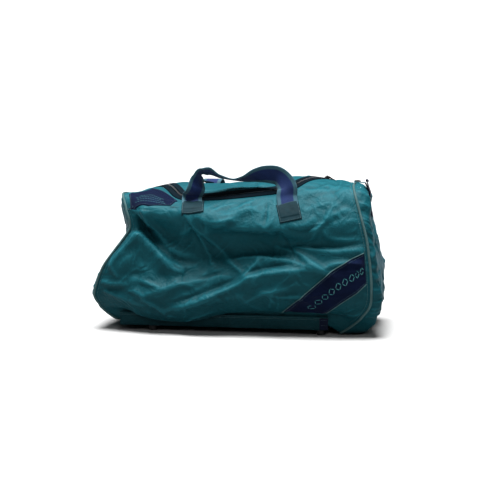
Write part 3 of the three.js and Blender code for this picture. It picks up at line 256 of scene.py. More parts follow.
# Length and radius of the stitches: in seams, on the zip's tape, on tabs, patches, trim and rims
SEAM_THREAD = (2.3, 0.32)
TAPE_THREAD = (2.0, 0.28)
TAB_THREAD = (1.9, 0.32)
BASE_TAB_THREAD = (1.9, 0.3)
PATCH_THREAD = (2.1, 0.34)
BADGE_THREAD = (3.6, 0.55)
BADGE_RIM_THREAD = (1.7, 0.32)
BAND_RIM_THREAD = (2.1, 0.32)
TAB_PITCH = 2.6


def row_shift():
    """The bag's own frame to the row frame: where the front left foot stands, less its own place."""
    low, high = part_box("foot_front_left")
    share = FEET["foot_front_left"]
    middle = [(low[k] + high[k]) * 500 for k in range(2)]
    return np.array([middle[0] - share[0] * HALF_LENGTH, middle[1] - share[1] * FOOT_LINE, 0.0])


SHIFT = row_shift()


def node_box(node):
    """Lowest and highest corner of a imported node, in the bag's own frame."""
    return [np.array(corner) * 1000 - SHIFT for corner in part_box(node)]


# Number helpers

def mix(low, high, share):
    """The value a share of the way from low to high."""
    return low + (high - low) * share


def ease(value):
    """0 to 1 with level ends: three times the square less twice the cube."""
    value = np.clip(value, 0.0, 1.0)
    return value * value * (3 - 2 * value)


def unit(vectors):
    """Vectors over their lengths."""
    return vectors / np.maximum(np.linalg.norm(vectors, axis=-1, keepdims=True), 1e-9)


def dot(first, second):
    """Dot products, each kept as a column."""
    return (first * second).sum(-1, keepdims=True)


def cubic(start, start_slope, end, end_slope, share):
    """Cubic from start to end whose slopes at the two ends are given."""
    square = share * share
    cube = square * share
    return ((2 * cube - 3 * square + 1) * start + (cube - 2 * square + share) * start_slope
            + (3 * square - 2 * cube) * end + (cube - square) * end_slope)


def drifting_noise(first, second, cell, seed):
    """Random heights from -1 to 1 on a square lattice of the given cell, joined by eased steps."""
    heights = np.random.default_rng(seed).uniform(-1, 1, (64, 64))
    column, row = np.asarray(first) / cell, np.asarray(second) / cell
    i, j = np.floor(column).astype(int), np.floor(row).astype(int)
    across, up = ease(column - i), ease(row - j)
    low = mix(heights[j % 64, i % 64], heights[j % 64, (i + 1) % 64], across)
    high = mix(heights[(j + 1) % 64, i % 64], heights[(j + 1) % 64, (i + 1) % 64], across)
    return mix(low, high, up)


def path_through(nodes, count, closed=False):
    """Smooth path through nodes, whose pace follows the square root of each gap."""
    nodes = np.asarray(nodes, float)
    total = len(nodes)
    if closed:
        padded = np.concatenate([nodes[-1:], nodes, nodes[:2]])
        places = np.linspace(0, total, count, endpoint=False)
    else:
        padded = np.concatenate([2 * nodes[:1] - nodes[1:2], nodes, 2 * nodes[-1:] - nodes[-2:-1]])
        places = np.linspace(0, total - 1, count)
    k = np.minimum(np.floor(places).astype(int), total - (1 if closed else 2))
    share = (places - k)[:, None]
    p0, p1, p2, p3 = (padded[k + step] for step in range(4))
    gap = [np.maximum(np.linalg.norm(b - a, axis=-1, keepdims=True) ** 0.5, 1e-4)
           for a, b in ((p0, p1), (p1, p2), (p2, p3))]
    first = ((p1 - p0) / gap[0] - (p2 - p0) / (gap[0] + gap[1]) + (p2 - p1) / gap[1]) * gap[1]
    second = ((p2 - p1) / gap[1] - (p3 - p1) / (gap[1] + gap[2]) + (p3 - p2) / gap[2]) * gap[1]
    return cubic(p1, first, p2, second, share)


def distances_along(line):
    """Distance from a line's start to each of its points."""
    return np.concatenate([[0], np.cumsum(np.linalg.norm(np.diff(line, axis=0), axis=1))])


def evenly_along(line, count):
    """A line of points again, at even steps of its length."""
    length = distances_along(line)
    places = np.linspace(0, length[-1], count)
    return np.stack([np.interp(places, length, line[:, axis]) for axis in range(line.shape[1])], -1)


def line_length(line):
    """Sum of the lengths of a line's runs."""
    return float(np.linalg.norm(np.diff(line, axis=0), axis=1).sum())


# The cloth

def rail_tables():
    """Each rail's depth and height in millimetres at each station, and their slopes there."""
    depth = np.array([BASE_HALF if k in BY_BASE else HALF_DEPTH for k in range(RAIL_COUNT)])
    rise = np.array([BASE_RIM if k in BY_BASE else RISE for k in range(RAIL_COUNT)])
    left, right = np.array(SEAM_LEFT, float), np.array(SEAM_RIGHT, float)
    shares = np.stack([left[:, 1:], *(np.array(rows, float) for rows in SECTIONS.values()), right[:, 1:]], 1)
    values = np.stack([shares[..., 0] * depth[:, None], BASE_TOP + shares[..., 1] * rise[:, None]], -1)
    stations = np.array([0.0, *SECTIONS, 1.0])
    after = np.minimum(np.arange(len(stations)) + 1, len(stations) - 1)
    before = np.maximum(np.arange(len(stations)) - 1, 0)
    slopes = (values[:, after] - values[:, before]) / (stations[after] - stations[before])[:, None]
    return stations, values, slopes, left[:, 0] * HALF_LENGTH, right[:, 0] * HALF_LENGTH


STATIONS, RAIL_VALUES, RAIL_SLOPES, RAIL_FROM, RAIL_TO = rail_tables()


def rail_points(along):
    """All rails at shares of the way along: straight in length, cubic in depth and height."""
    k = np.clip(np.searchsorted(STATIONS, along) - 1, 0, len(STATIONS) - 2)
    width = (STATIONS[k + 1] - STATIONS[k])[:, None]
    share = (along[:, None] - STATIONS[k][:, None]) / width
    across = cubic(RAIL_VALUES[:, k], RAIL_SLOPES[:, k] * width, RAIL_VALUES[:, k + 1],
                   RAIL_SLOPES[:, k + 1] * width, share)
    length = mix(RAIL_FROM[:, None], RAIL_TO[:, None], along[None])
    return np.concatenate([length[..., None], across], -1)


def wrap(along, around):
    """The bag's bare form: at a share along, a closed smooth section through the rails there."""
    along, around = np.broadcast_arrays(np.asarray(along, float), np.asarray(around, float))
    shape = along.shape
    along, around = along.ravel(), around.ravel()
    rails = rail_points(along)
    index = np.floor(around).astype(int)
    column = np.arange(along.size)
    before, start, end, after = (rails[(index + step) % RAIL_COUNT, column] for step in (-1, 0, 1, 2))

    def slope(last, here, following):
        reach = np.minimum(np.linalg.norm(here - last, axis=-1), np.linalg.norm(following - here, axis=-1))
        return unit(following - last) * reach[:, None]

    placed = cubic(start, slope(before, start, end), end, slope(start, end, after), (around - index)[:, None])
    return placed.reshape(*shape, 3)


def normal_of(surface, along, around):
    """Outward normal: the cross product of short steps along and around the surface."""
    step = 0.002
    along = np.clip(along, step, 1 - step)
    way = surface(along + step, around) - surface(along - step, around)
    rise = surface(along, around + 5 * step) - surface(along, around - 5 * step)
    return unit(np.cross(way, rise))


def near_line(points, line):
    """Distance from points to a line of short runs, the share along it, and the offset from it."""
    best = np.full(len(points), np.inf)
    share = np.zeros(len(points))
    offset = np.zeros_like(points)
    runs = len(line) - 1
    for k in range(runs):
        way = line[k + 1] - line[k]
        from_start = points - line[k]
        part = np.clip(from_start @ way / max(way @ way, 1e-9), 0, 1)
        off = from_start - part[:, None] * way
        distance = np.linalg.norm(off, axis=1)
        closer = distance < best
        best = np.where(closer, distance, best)
        share = np.where(closer, (k + part) / runs, share)
        offset = np.where(closer[:, None], off, offset)
    return best, share, offset


def fold_lift(points, folds, scale):
    """Sum of folds: each has a crest along a bent line, flanks that run out to its spread on
    either side, and a rise that eases from its middle to what is kept at its ends."""
    lift = np.zeros(len(points))
    for start, middle, end, rise, above, below, crest, kept in folds:
        nodes = np.array([start, middle, end]) * scale
        t = np.linspace(0, 1, 13)[:, None]
        line = nodes[0] * (1 - t) * (1 - 2 * t) + nodes[1] * 4 * t * (1 - t) + nodes[2] * t * (2 * t - 1)
        distance, share, offset = near_line(points, line)
        lean = 0.5 + 0.5 * offset[:, 1] / np.maximum(distance, 1e-6)
        spread = mix(below, above, lean)
        flank = np.clip(1 - (np.sqrt(distance ** 2 + crest ** 2) - crest) / spread, 0, 1) ** 1.7
        ends = mix(kept[0], kept[1], share)
        level = ends + (1 - ends) * np.sin(math.pi * np.clip(share, 0, 1)) ** 0.8
        lift += rise * flank * level
    return lift


# Distance round the section at each rail, for patterns that follow the cloth
GIRTH = np.array([0, 17, 32, 72, 132, 188, 238, 300, 366, 420, 470, 536, 620, 690, 710, 890], float)
CLOTH_LENGTH = 500.0


def on_cloth(along, around):
    """A place on the wrap as distances along and round the cloth."""
    return np.asarray(along) * CLOTH_LENGTH, np.interp(np.asarray(around) % RAIL_COUNT, np.arange(16), GIRTH)


def creases(first, second, seed, count, area, height, reach, spread, turns):
    """Random short creases: each a sharp bent stroke that fades along and across."""
    random = np.random.default_rng(seed)
    lift = np.zeros(np.shape(first))
    for _ in range(count):
        centre = random.uniform(0, 1, 2) * (area[1] - area[0], area[3] - area[2]) + (area[0], area[2])
        turn = turns[random.integers(len(turns))] + random.normal(0, 0.3)
        half = reach * random.uniform(0.5, 1.4)
        wide = spread * random.uniform(0.6, 1.5)
        tall = height * random.uniform(0.4, 1.2) * random.choice((-1, 1, 1))
        bend = random.normal(0, 0.004)
        away = (first - centre[0], second - centre[1])
        along = (away[0] * math.cos(turn) + away[1] * math.sin(turn)) / half
        off = -away[0] * math.sin(turn) + away[1] * math.cos(turn) + bend * (along * half) ** 2
        ends = np.clip(1 - along ** 2, 0, 1) ** 2
        flank = np.clip(1 - (np.sqrt(off ** 2 + 1.0) - 1.0) / wide, 0, 1) ** 2
        lift += tall * ends * flank
    return lift


# Layers of random creases on the body and on the ends: seed, how many, height as a share of the
# crease height, reach and spread in millimetres, and the ways that they run
BODY_CREASES = (
    (21, 230, 1.15, 52, 14, (0.35, -0.7, 0.1, 1.3)),
    (22, 420, 0.45, 20, 6, (0.5, -0.8, 1.4, 2.4)),
)
END_CREASES = (
    (9, 46, 1.6, 42, 14, (1.5, 0.2, -0.8, 0.8)),
    (10, 110, 0.6, 18, 6, (1.5, 0.2, -0.8, 0.8)),
)


def crease_layers(first, second, layers, area, seed=0):
    """Sum of layers of random creases."""
    height = bpy.context.scene.bag_sizes.crease_height
    return sum(creases(first, second, seed + own_seed, count, area, share * height, reach, spread, turns)
               for own_seed, count, share, reach, spread, turns in layers)


def front_lift(along, around, points):
    """The front's folds, which fade out at the seams, over the zip and under the bag."""
    fade = (ease(along / 0.05) * ease((1 - along) / 0.04)
            * ease(around - SAG) * ease(ZIP - around))
    return fold_lift(points[:, [0, 2]], FRONT_FOLDS, (HALF_LENGTH, HEIGHT)) * fade


def folded(along, around, crumpled=False):
    """The cloth: the wrap, with the front's folds and, where asked, its small creases."""
    along, around = np.broadcast_arrays(np.asarray(along, float), np.asarray(around, float))
    shape = along.shape
    along, around = along.ravel(), around.ravel()
    points = wrap(along, around)
    lift = np.zeros(along.size)
    front = (around > SAG) & (around < ZIP)
    if front.any():
        lift[front] = front_lift(along[front], around[front], points[front])
    if crumpled:
        lift = lift + crumple(along, around) * slack(along, around, points)
    return (points + normal_of(wrap, along, around) * lift[:, None]).reshape(*shape, 3)


def crumple(along, around):
    """Creases of two sizes over gentle swells, all in distances on the cloth."""
    height = bpy.context.scene.bag_sizes.crease_height
    first, second = on_cloth(along, around)
    warp = 7.0 * drifting_noise(first, second, 45, 11)
    first, second = first + warp, second + 7.0 * drifting_noise(first, second, 38, 12)
    area = (-10, CLOTH_LENGTH + 10, 0, GIRTH[-1])
    creased = crease_layers(first, second, BODY_CREASES, area)
    ridged = 1 - np.abs(drifting_noise(first, second, 64, 15)) ** 0.8
    fine = 1 - np.abs(drifting_noise(first, second, 21, 16)) ** 0.8
    swell = 1.3 * drifting_noise(first, second, 30, 13) + 0.35 * drifting_noise(first, second, 11, 14)
    return creased + swell + height * (0.9 * (ridged - 0.5) + 0.2 * (fine - 0.5))


# Where the cloth stays calm: near a seam as a share of the length, and near the zip, a patch and
# the badge as the distance at which it starts to loosen and the distance over which it does
CALM_SEAM = 0.03
CALM_ZIP = (BAND_HALF, 22)
CALM_PATCH = (24, 26)
CALM_BADGE = (36, 30)


def loosened(distance, calm):
    """0 up to where the cloth starts to loosen, and 1 where it is quite free."""
    return ease((distance - calm[0]) / calm[1])


def slack(along, around, points):
    """How free the cloth is to crumple, from 0 at seams, zip, patches and base to 1."""
    free = ease(along / CALM_SEAM) * ease((1 - along) / CALM_SEAM)
    free = free * mix(0.15, 1.0, ease((np.abs((around % RAIL_COUNT) - 0.2) - 1.0) / 1.6))
    line = zip_plan(0.0, 0.0, FINENESS // 2)
    distance = near_line(points[:, :2], line)[0]
    on_top = (around > SHOULDER) & (around < HINGE + 0.5)
    free = free * np.where(on_top, loosened(distance, CALM_ZIP), 1.0)
    for seat in patch_seats():
        away = np.linalg.norm(points - seat["middle"], axis=1)
        free = free * mix(0.1, 1.0, loosened(away, CALM_PATCH))
    badge = np.mean(BADGE_BACK + BADGE_FRONT, axis=0) * (HALF_LENGTH, HALF_DEPTH)
    from_badge = np.linalg.norm(points[:, :2] - badge, axis=1)
    return free * np.where(on_top, mix(0.2, 1.0, loosened(from_badge, CALM_BADGE)), 1.0)


# Finding places on the cloth

def find_place(first, second, along, around, first_axis, second_axis):
    """Newton's steps to the place whose reach on two axes is given."""
    along = np.full(len(first), along) if np.isscalar(along) else along
    around = np.full(len(first), around) if np.isscalar(around) else around
    step = 0.002
    for _ in range(14):
        here = folded(along, around)
        by_along = (folded(along + step, around) - here) / step
        by_around = (folded(along, around + step) - here) / step
        gap = (first - here @ first_axis, second - here @ second_axis)
        a, b = by_along @ first_axis, by_around @ first_axis
        c, d = by_along @ second_axis, by_around @ second_axis
        scale = a * d - b * c
        along = np.clip(along + np.clip((gap[0] * d - gap[1] * b) / scale, -0.2, 0.2), 0.001, 0.999)
        around = around + np.clip((gap[1] * a - gap[0] * c) / scale, -0.4, 0.4)
    return along, around


AXIS_X, AXIS_Y, AXIS_Z = np.eye(3)


def place_on_top(x, y):
    """Places on the cloth over points of the plan, from a first guess at the ridge."""
    x, y = np.atleast_1d(x).astype(float), np.atleast_1d(y).astype(float)
    return find_place(x, y, (x / HALF_LENGTH + 0.85) / 1.65, float(RIDGE), AXIS_X, AXIS_Y)


def place_on_front(x, z):
    """Places on the cloth behind points of the front view, from a first guess by their height."""
    x, z = np.atleast_1d(x).astype(float), np.atleast_1d(z).astype(float)
    around = np.interp(z, (45, 75, 130, 190, 230), (SAG + 0.4, BELLY, FLANK, WAIST, SHOULDER))
    return find_place(x, z, (x / HALF_LENGTH + 0.95) / 1.88, around, AXIS_X, AXIS_Z)


def shifted(along, around, distance):
    """Moves a place round the section by a distance."""
    step = 0.01
    length = np.linalg.norm(folded(along, around + step) - folded(along, around), axis=-1)
    return along, around + distance * step / length


def zip_plan(offset, end_clear, fineness):
    """The zip's line from above, shifted to the body side, with round corners and even parts."""
    nodes = ZIP_PLAN * (HALF_LENGTH, HALF_DEPTH)
    ways = unit(np.diff(nodes, axis=0))
    outs = np.stack([ways[:, 1], -ways[:, 0]], -1)
    end_y = 0.4 * HALF_DEPTH - end_clear

    def on_hinge(node, way, out):
        start = node + out * offset
        return start + way * ((end_y - start[1]) / way[1])

    corners = []
    for k in (1, 2):
        turn = math.acos(ways[k - 1] @ ways[k])
        centre = (nodes[k] - ways[k - 1] * ZIP_CORNER_RADIUS * math.tan(turn / 2)
                  - outs[k - 1] * ZIP_CORNER_RADIUS)
        angles = np.linspace(0, turn, 4 * fineness + 1)[:, None]
        out = outs[k - 1] * np.cos(angles) + ways[k - 1] * np.sin(angles)
        corners.append(centre + out * (ZIP_CORNER_RADIUS + offset))

    def straight(start, end, parts):
        return mix(start, end, np.linspace(0, 1, parts * fineness + 1)[:, None])

    start = on_hinge(nodes[0], ways[0], outs[0])
    finish = on_hinge(nodes[3], ways[2], outs[2])
    return np.concatenate([
        straight(start, corners[0][0], ZIP_PARTS[0] - 2)[:-1], corners[0][:-1],
        straight(corners[0][-1], corners[1][0], ZIP_PARTS[1] - 4)[:-1], corners[1][:-1],
        straight(corners[1][-1], finish, ZIP_PARTS[2] - 2),
    ])


def zip_line(offset, end_clear=TOUCH, fineness=FINENESS):
    """Places on the cloth under the zip's line, shifted to the body side."""
    line = zip_plan(offset, end_clear, fineness)
    return place_on_top(line[:, 0], line[:, 1])


PATCH_SEATS = []


def patch_seats():
    """Each patch's place on the cloth, its middle, and its ways across, up and out."""
    if not PATCH_SEATS:
        for name, side, depth, turn, up_sign in PATCHES:
            along, around = place_on_top(HANDLE_MIDDLE + side * HANDLE_SPAN / 2, depth * HALF_DEPTH)
            middle = folded(along, around)[0]
            out = normal_of(folded, along, around)[0]
            beyond = folded(*shifted(along, around, up_sign * PATCH_LENGTH / 2))[0]
            up = unit(beyond - middle - out * ((beyond - middle) @ out))
            up = up * math.cos(turn) + np.cross(out, up) * math.sin(turn)
            PATCH_SEATS.append({
                "name": name, "along": along, "around": around, "middle": middle, "out": out, "up": up,
                "across": np.cross(up, out), "sign": up_sign,
            })
    return PATCH_SEATS


def near_seat(seat, across, up):
    """First guess of places near a patch's middle, from the cloth's slopes there."""
    along, around = float(seat["along"][0]), float(seat["around"][0])
    step = 0.004
    here = folded(along, around)
    by_along = (folded(along + step, around) - here) / step
    by_around = (folded(along, around + step) - here) / step
    a, b = by_along @ seat["across"], by_around @ seat["across"]
    c, d = by_along @ seat["up"], by_around @ seat["up"]
    scale = a * d - b * c
    return along + (across * d - up * b) / scale, around + (up * a - across * c) / scale


# Meshes

def grid_faces(rows, columns, close_rows=False, close_columns=False):
    """Quads of a grid of points that is stored row by row, joined to its start where closed."""
    j = np.arange(rows if close_rows else rows - 1)[:, None]
    i = np.arange(columns if close_columns else columns - 1)[None]
    near, far = j * columns, ((j + 1) % rows) * columns
    right = (i + 1) % columns
    return np.stack(np.broadcast_arrays(near + i, near + right, far + right, far + i), -1).reshape(-1, 4)


def make_piece(name, points, faces, material, slot, stands_for=(), body="bag", uv=None, crest=None):
    """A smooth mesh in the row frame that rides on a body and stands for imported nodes."""
    mesh = bpy.data.meshes.new(name)
    placed = (np.asarray(points).reshape(-1, 3) + SHIFT) / 1000
    mesh.from_pydata(placed.tolist(), [], [list(face) for face in faces])
    if uv is not None:
        layer = mesh.uv_layers.new(name="cloth")
        corners = np.zeros(len(mesh.loops), np.int32)
        mesh.loops.foreach_get("vertex_index", corners)
        layer.data.foreach_set("uv", (np.asarray(uv).reshape(-1, 2)[corners] / 1000).ravel())
    if crest is not None:
        mesh.attributes.new("crest", "FLOAT", "POINT").data.foreach_set("value", np.asarray(crest).ravel())
    mesh.polygons.foreach_set("use_smooth", np.ones(len(mesh.polygons), bool))
    mesh.materials.append(material)
    mesh.update()
    piece = bpy.data.objects.new(name, mesh)
    bpy.context.scene.collection.objects.link(piece)
    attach(piece, body)
    if stands_for:
        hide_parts(*stands_for)
    return piece


def thicken(piece, thickness):
    """Gives an open sheet a wall on its inner side."""
    wall = piece.modifiers.new("wall", "SOLIDIFY")
    wall.thickness = thickness / 1000
    wall.offset = -1
    return piece


def lengths_over(points):
    """Distances over a grid of points, along its rows and up its columns."""
    first = np.linalg.norm(np.diff(points, axis=1), axis=-1)
    second = np.linalg.norm(np.diff(points, axis=0), axis=-1)
    across = np.concatenate([np.zeros((points.shape[0], 1)), np.cumsum(first, 1)], 1)
    up = np.concatenate([np.zeros((1, points.shape[1])), np.cumsum(second, 0)], 0)
    return np.stack([across, up], -1)


def crest_of(points, normals):
    """How sharply a grid stands out or in: its offset from the mean of its neighbours."""
    mean = np.zeros_like(points)
    padded = np.pad(points, ((2, 2), (2, 2), (0, 0)), mode="edge")
    for row, column in ((0, 2), (4, 2), (2, 0), (2, 4)):
        mean += padded[row:row + points.shape[0], column:column + points.shape[1]] / 4
    return np.clip(((points - mean) * normals).sum(-1) / 0.5, -1, 1)


def skin(name, along, around, material, thickness, stands_for):
    """A panel of cloth over a grid of places, with a thin wall."""
    points = folded(along, around, crumpled=True)
    crest = crest_of(points, normal_of(wrap, along, around))
    piece = make_piece(name, points, grid_faces(*along.shape), material, "teal_nylon", (stands_for,),
                       uv=lengths_over(points), crest=crest)
    return thicken(piece, thickness)


def tube_faces(rows, columns):
    """Quads of a tube of closed sections, with one face over each end."""
    faces = grid_faces(rows, columns, close_columns=True).tolist()
    faces.append(list(range(columns)))
    faces.append([(rows - 1) * columns + k for k in reversed(range(columns))])
    return faces


def sweep(path, sides, ups, profile, closed=False):
    """A profile of (side, up) offsets carried along a path; returns its points and faces."""
    points = path[:, None] + sides[:, None] * profile[None, :, :1] + ups[:, None] * profile[None, :, 1:]
    if closed:
        return points, grid_faces(len(path), len(profile), True, True).tolist()
    return points, tube_faces(len(path), len(profile))


def strip_map(profile, path):
    """Distances across and along a strip that was swept along a path."""
    return np.stack(np.broadcast_arrays(profile[None, :, 0], distances_along(path)[:, None]), -1)


def outward(points, faces):
    """Turns all faces round if the closed mesh holds less than no volume."""
    flat = np.asarray(points).reshape(-1, 3)
    volume = 0.0
    for face in faces:
        for k in range(1, len(face) - 1):
            volume += flat[face[0]] @ np.cross(flat[face[k]], flat[face[k + 1]])
    return faces if volume > 0 else [list(face)[::-1] for face in faces]


def joined(parts):
    """Several closed meshes as one: their points, and their faces turned outwards."""
    points, faces, start = [], [], 0
    for part_points, part_faces in parts:
        flat = part_points.reshape(-1, 3)
        faces += [[start + corner for corner in face] for face in outward(flat, part_faces)]
        points.append(flat)
        start += len(flat)
    return np.concatenate(points), faces


def ring_profile(radius, count):
    """Points on a circle."""
    turns = np.linspace(0, 2 * math.pi, count, endpoint=False)
    return np.stack([np.cos(turns), np.sin(turns)], -1) * radius


def flat_profile(width, thickness, edge_steps=5, face_steps=10):
    """A flat section with round edges, wider than thick."""
    half, round_edge = width / 2, thickness / 2
    turns = np.linspace(-math.pi / 2, math.pi / 2, edge_steps)
    right = np.stack([half - round_edge + np.cos(turns) * round_edge, np.sin(turns) * round_edge], -1)
    across = np.linspace(half - round_edge, -half + round_edge, face_steps + 2)[1:-1]
    top = np.stack([across, np.full_like(across, round_edge)], -1)
    return np.concatenate([right, top, -right, -top])


def path_frames(path, hint, closed=False):
    """The way of a path, and its side and up directions; side keeps as near as it can to hint."""
    if closed:
        way = unit(np.roll(path, -1, 0) - np.roll(path, 1, 0))
    else:
        way = unit(np.gradient(path, axis=0))
    side = unit(hint - way * dot(hint, way))
    return way, side, unit(np.cross(way, side))


def stitch_run(line, normals, pitch, thread):
    """Stitches at even steps of a line: their places, ways, normals, lengths and radii."""
    count = max(2, int(line_length(line) / pitch))
    even = evenly_along(np.concatenate([line, normals], 1), 2 * count + 1)[1::2]
    way = unit(np.gradient(even[:, :3], axis=0))
    return even[:, :3], way, unit(even[:, 3:]), np.full(count, thread[0]), np.full(count, thread[1])


def row_of_stitches(start, end, normal, pitch, thread):
    """Stitches on a straight line between two points of a flat face."""
    line = np.linspace(start, end, 12)
    return stitch_run(line, np.broadcast_to(normal, line.shape), pitch, thread)


def stitches(name, runs, material, slot="grey_piping", body="bag"):
    """Many small threads in one mesh: each a flattened bead of three rings and two tips."""
    places, ways, normals, lengths, radii = (np.concatenate(part) for part in zip(*runs))
    ways = unit(ways - normals * dot(ways, normals))
    sides = np.cross(normals, ways)
    turns = np.linspace(0, 2 * math.pi, 6, endpoint=False)
    template = [(-0.5, 0.0, 0.0)]
    for place, share in ((-0.36, 0.75), (0.0, 1.0), (0.36, 0.75)):
        template += [(place, math.cos(turn) * share, math.sin(turn) * share) for turn in turns]
    template = np.array(template + [(0.5, 0.0, 0.0)])
    reach = (ways[:, None] * template[None, :, :1] * lengths[:, None, None]
             + sides[:, None] * template[None, :, 1:2] * radii[:, None, None]
             + normals[:, None] * template[None, :, 2:] * 0.7 * radii[:, None, None])
    points = places[:, None] + reach
    bead = [[0, 1 + (k + 1) % 6, 1 + k] for k in range(6)]
    bead += [[1 + 6 * r + k, 1 + 6 * r + (k + 1) % 6, 7 + 6 * r + (k + 1) % 6, 7 + 6 * r + k]
             for r in range(2) for k in range(6)]
    bead += [[19, 13 + k, 13 + (k + 1) % 6] for k in range(6)]
    count = len(template)
    faces = [[corner + count * k for corner in face] for k in range(len(places)) for face in bead]
    return make_piece(name, points, faces, material, slot, body=body)


def covering(along, around, thickness, rounding=2.0, sink=0.6):
    """A closed cover over a grid of places: its top stands off by the thickness, less at the
    rim, and its underside lies just inside the cloth. Returns points, faces, map and normals."""
    base = folded(along, around, crumpled=True)
    normals = normal_of(wrap, along, around)
    over = lengths_over(base)
    across, up = over[..., 0], over[..., 1]
    from_edge = np.minimum(np.minimum(across, across[:, -1:] - across), np.minimum(up, up[-1:] - up))
    height = thickness * (1 - (1 - np.clip(from_edge / rounding, 0, 1)) ** 2) ** 0.5
    top = base + normals * np.maximum(height, 0.15)[..., None]
    under = base - normals * sink
    rows, columns = along.shape
    faces = grid_faces(rows, columns).tolist()
    count = rows * columns
    faces += [[count + corner for corner in reversed(face)] for face in faces]
    rim = [*range(columns - 1), *range(columns - 1, count - 1, columns),
           *range(count - 1, count - columns, -1), *range(count - columns, 0, -columns)]
    for start, end in zip(rim, rim[1:] + rim[:1]):
        faces.append([start, count + start, count + end, end])
    return np.stack([top, under]), faces, np.stack([over, over]), normals


def rim_lines(points, normals, inset):
    """The four lines of a grid a few steps in from its rim, each with its normals."""
    inner = slice(inset, -inset)
    places = ((inset, inner), (-inset - 1, inner), (inner, inset), (inner, -inset - 1))
    return [(points[place], normals[place]) for place in places]


# Shader values

class Value:
    """A shader output that Python's operators work on."""

    def __init__(self, shade, output):
        self.shade = shade
        self.output = output

    def __add__(self, other):
        return self.shade.math("ADD", self, other)

    def __radd__(self, other):
        return self.shade.math("ADD", other, self)

    def __sub__(self, other):
        return self.shade.math("SUBTRACT", self, other)

    def __rsub__(self, other):
        return self.shade.math("SUBTRACT", other, self)

    def __mul__(self, other):
        return self.shade.math("MULTIPLY", self, other)

    def __rmul__(self, other):
        return self.shade.math("MULTIPLY", other, self)

    def __truediv__(self, other):
        return self.shade.math("DIVIDE", self, other)

    def __abs__(self):
        return self.shade.math("ABSOLUTE", self)

    def sine(self):
        return self.shade.math("SINE", self)


class Shade:
    """A material's nodes."""

    def __init__(self, name, constants):
        self.material = bpy.data.materials.new(name)
        self.material.use_nodes = True
        self.tree = self.material.node_tree
        self.surface = self.tree.nodes["Principled BSDF"]
        for socket, value in constants.items():
            self.surface.inputs[socket].default_value = value

    def node(self, kind, settings=None, sockets=None, output=0):
        """A node: its settings first, then the values or links of its sockets."""
        made = self.tree.nodes.new(kind)
        for key, value in (settings or {}).items():
            setattr(made, key, value)
        for key, value in (sockets or {}).items():
            if isinstance(value, Value):
                self.tree.links.new(value.output, made.inputs[key])
            else:
                made.inputs[key].default_value = value
        return Value(self, made.outputs[output])

    def math(self, operation, *values):
        return self.node("ShaderNodeMath", {"operation": operation}, dict(enumerate(values)))

    def blend(self, factor, first, second):
        """Two colours in a Mix node."""
        return self.node("ShaderNodeMix", {"data_type": "RGBA"}, {0: factor, 6: first, 7: second}, 2)

    def noise(self, where, scale, detail=3.0, roughness=0.5, distortion=0.0):
        return self.node("ShaderNodeTexNoise", {}, {
            "Vector": where, "Scale": scale, "Detail": detail, "Roughness": roughness,
            "Distortion": distortion,
        })

    def steps(self, value, low, high):
        """0 below low, 1 above high."""
        sockets = {"Value": value, "From Min": low, "From Max": high}
        return self.node("ShaderNodeMapRange", {"clamp": True}, sockets)

    def place(self):
        return self.node("ShaderNodeTexCoord", output="Object")

    def split(self, vector):
        """The three numbers of a vector."""
        first = self.node("ShaderNodeSeparateXYZ", {}, {0: vector})
        return [Value(self, output) for output in first.output.node.outputs]

    def cloth_axes(self):
        """Distances across and along a piece, in metres, from its own map."""
        return self.split(self.node("ShaderNodeUVMap", {"uv_map": "cloth"}))[:2]

    def bump(self, height, distance, strength=1.0, below=None):
        sockets = {"Height": height, "Distance": distance, "Strength": strength}
        if below is not None:
            sockets["Normal"] = below
        return self.node("ShaderNodeBump", {}, sockets)

    def feed(self, **links):
        """Links values to the surface's colour, roughness and normal; returns the material."""
        names = {"colour": "Base Color", "roughness": "Roughness", "normal": "Normal"}
        for key, value in links.items():
            self.tree.links.new(value.output, self.surface.inputs[names[key]])
        return self.material


def opaque(colour, factor=1.0):
    """A colour times a factor, with full alpha."""
    return (*(min(1.0, channel * factor) for channel in colour[:3]), 1.0)


def nylon_cloth(name, colour):
    """Coated nylon: fine plain weave, faint crinkles, uneven sheen; crests paler, partly wear and partly
    painted highlight; painted shade in hollows and near the floor.
    """
    shade = Shade(name, {"Sheen Weight": 0.06, "Sheen Roughness": 0.35, "Sheen Tint": (0.5, 0.8, 1.0, 1.0),
                         "Specular IOR Level": 0.11})
    where = shade.place()
    across, along = shade.cloth_axes()
    height = shade.split(where)[2]
    cloud = shade.noise(where, 9.0, 4.0, 0.6)
    fine = shade.noise(where, 60.0, 4.0, 0.6, 0.6)
    crest = shade.node("ShaderNodeAttribute", {"attribute_name": "crest"}, output="Fac")
    tone = shade.blend(shade.steps(cloud, 0.3, 0.7), opaque(colour, 0.86), opaque(colour, 1.14))
    # Painted shade low down: below 0.27 m the colour eases up to 30 per cent towards black, fully so under
    # 0.08 m.
    low_painted_shade = shade.blend(shade.steps(height, 0.08, 0.27), shade.blend(0.3, tone, (0, 0, 0, 1)), tone)
    # Crests paler: partly a worn coating, partly a painted highlight on the raised folds.
    crest_wear_and_highlight = shade.blend(shade.steps(crest, 0.15, 1.0) * 0.35, low_painted_shade, opaque([c * 1.7 + 0.006 for c in colour]))
    # Painted shade: the hollows of the cloth go darker.
    valley_painted_shade = shade.blend(shade.steps(crest * -1, 0.2, 1.0) * 0.35, crest_wear_and_highlight, opaque(colour, 0.55))
    threads = math.tau / 0.0009
    weave = (across * threads).sine() * (along * threads).sine()
    medium = shade.noise(where, 26.0, 2.0, 0.5, 1.2)
    crinkle = (1 - abs(fine * 2 - 1)) * 0.4 + 1 - abs(medium * 2 - 1)
    below = shade.bump(crinkle, 0.0032, 0.7)
    return shade.feed(colour=valley_painted_shade, roughness=0.46 + fine * 0.16,
                      normal=shade.bump(weave, 0.00008, 0.6, below))


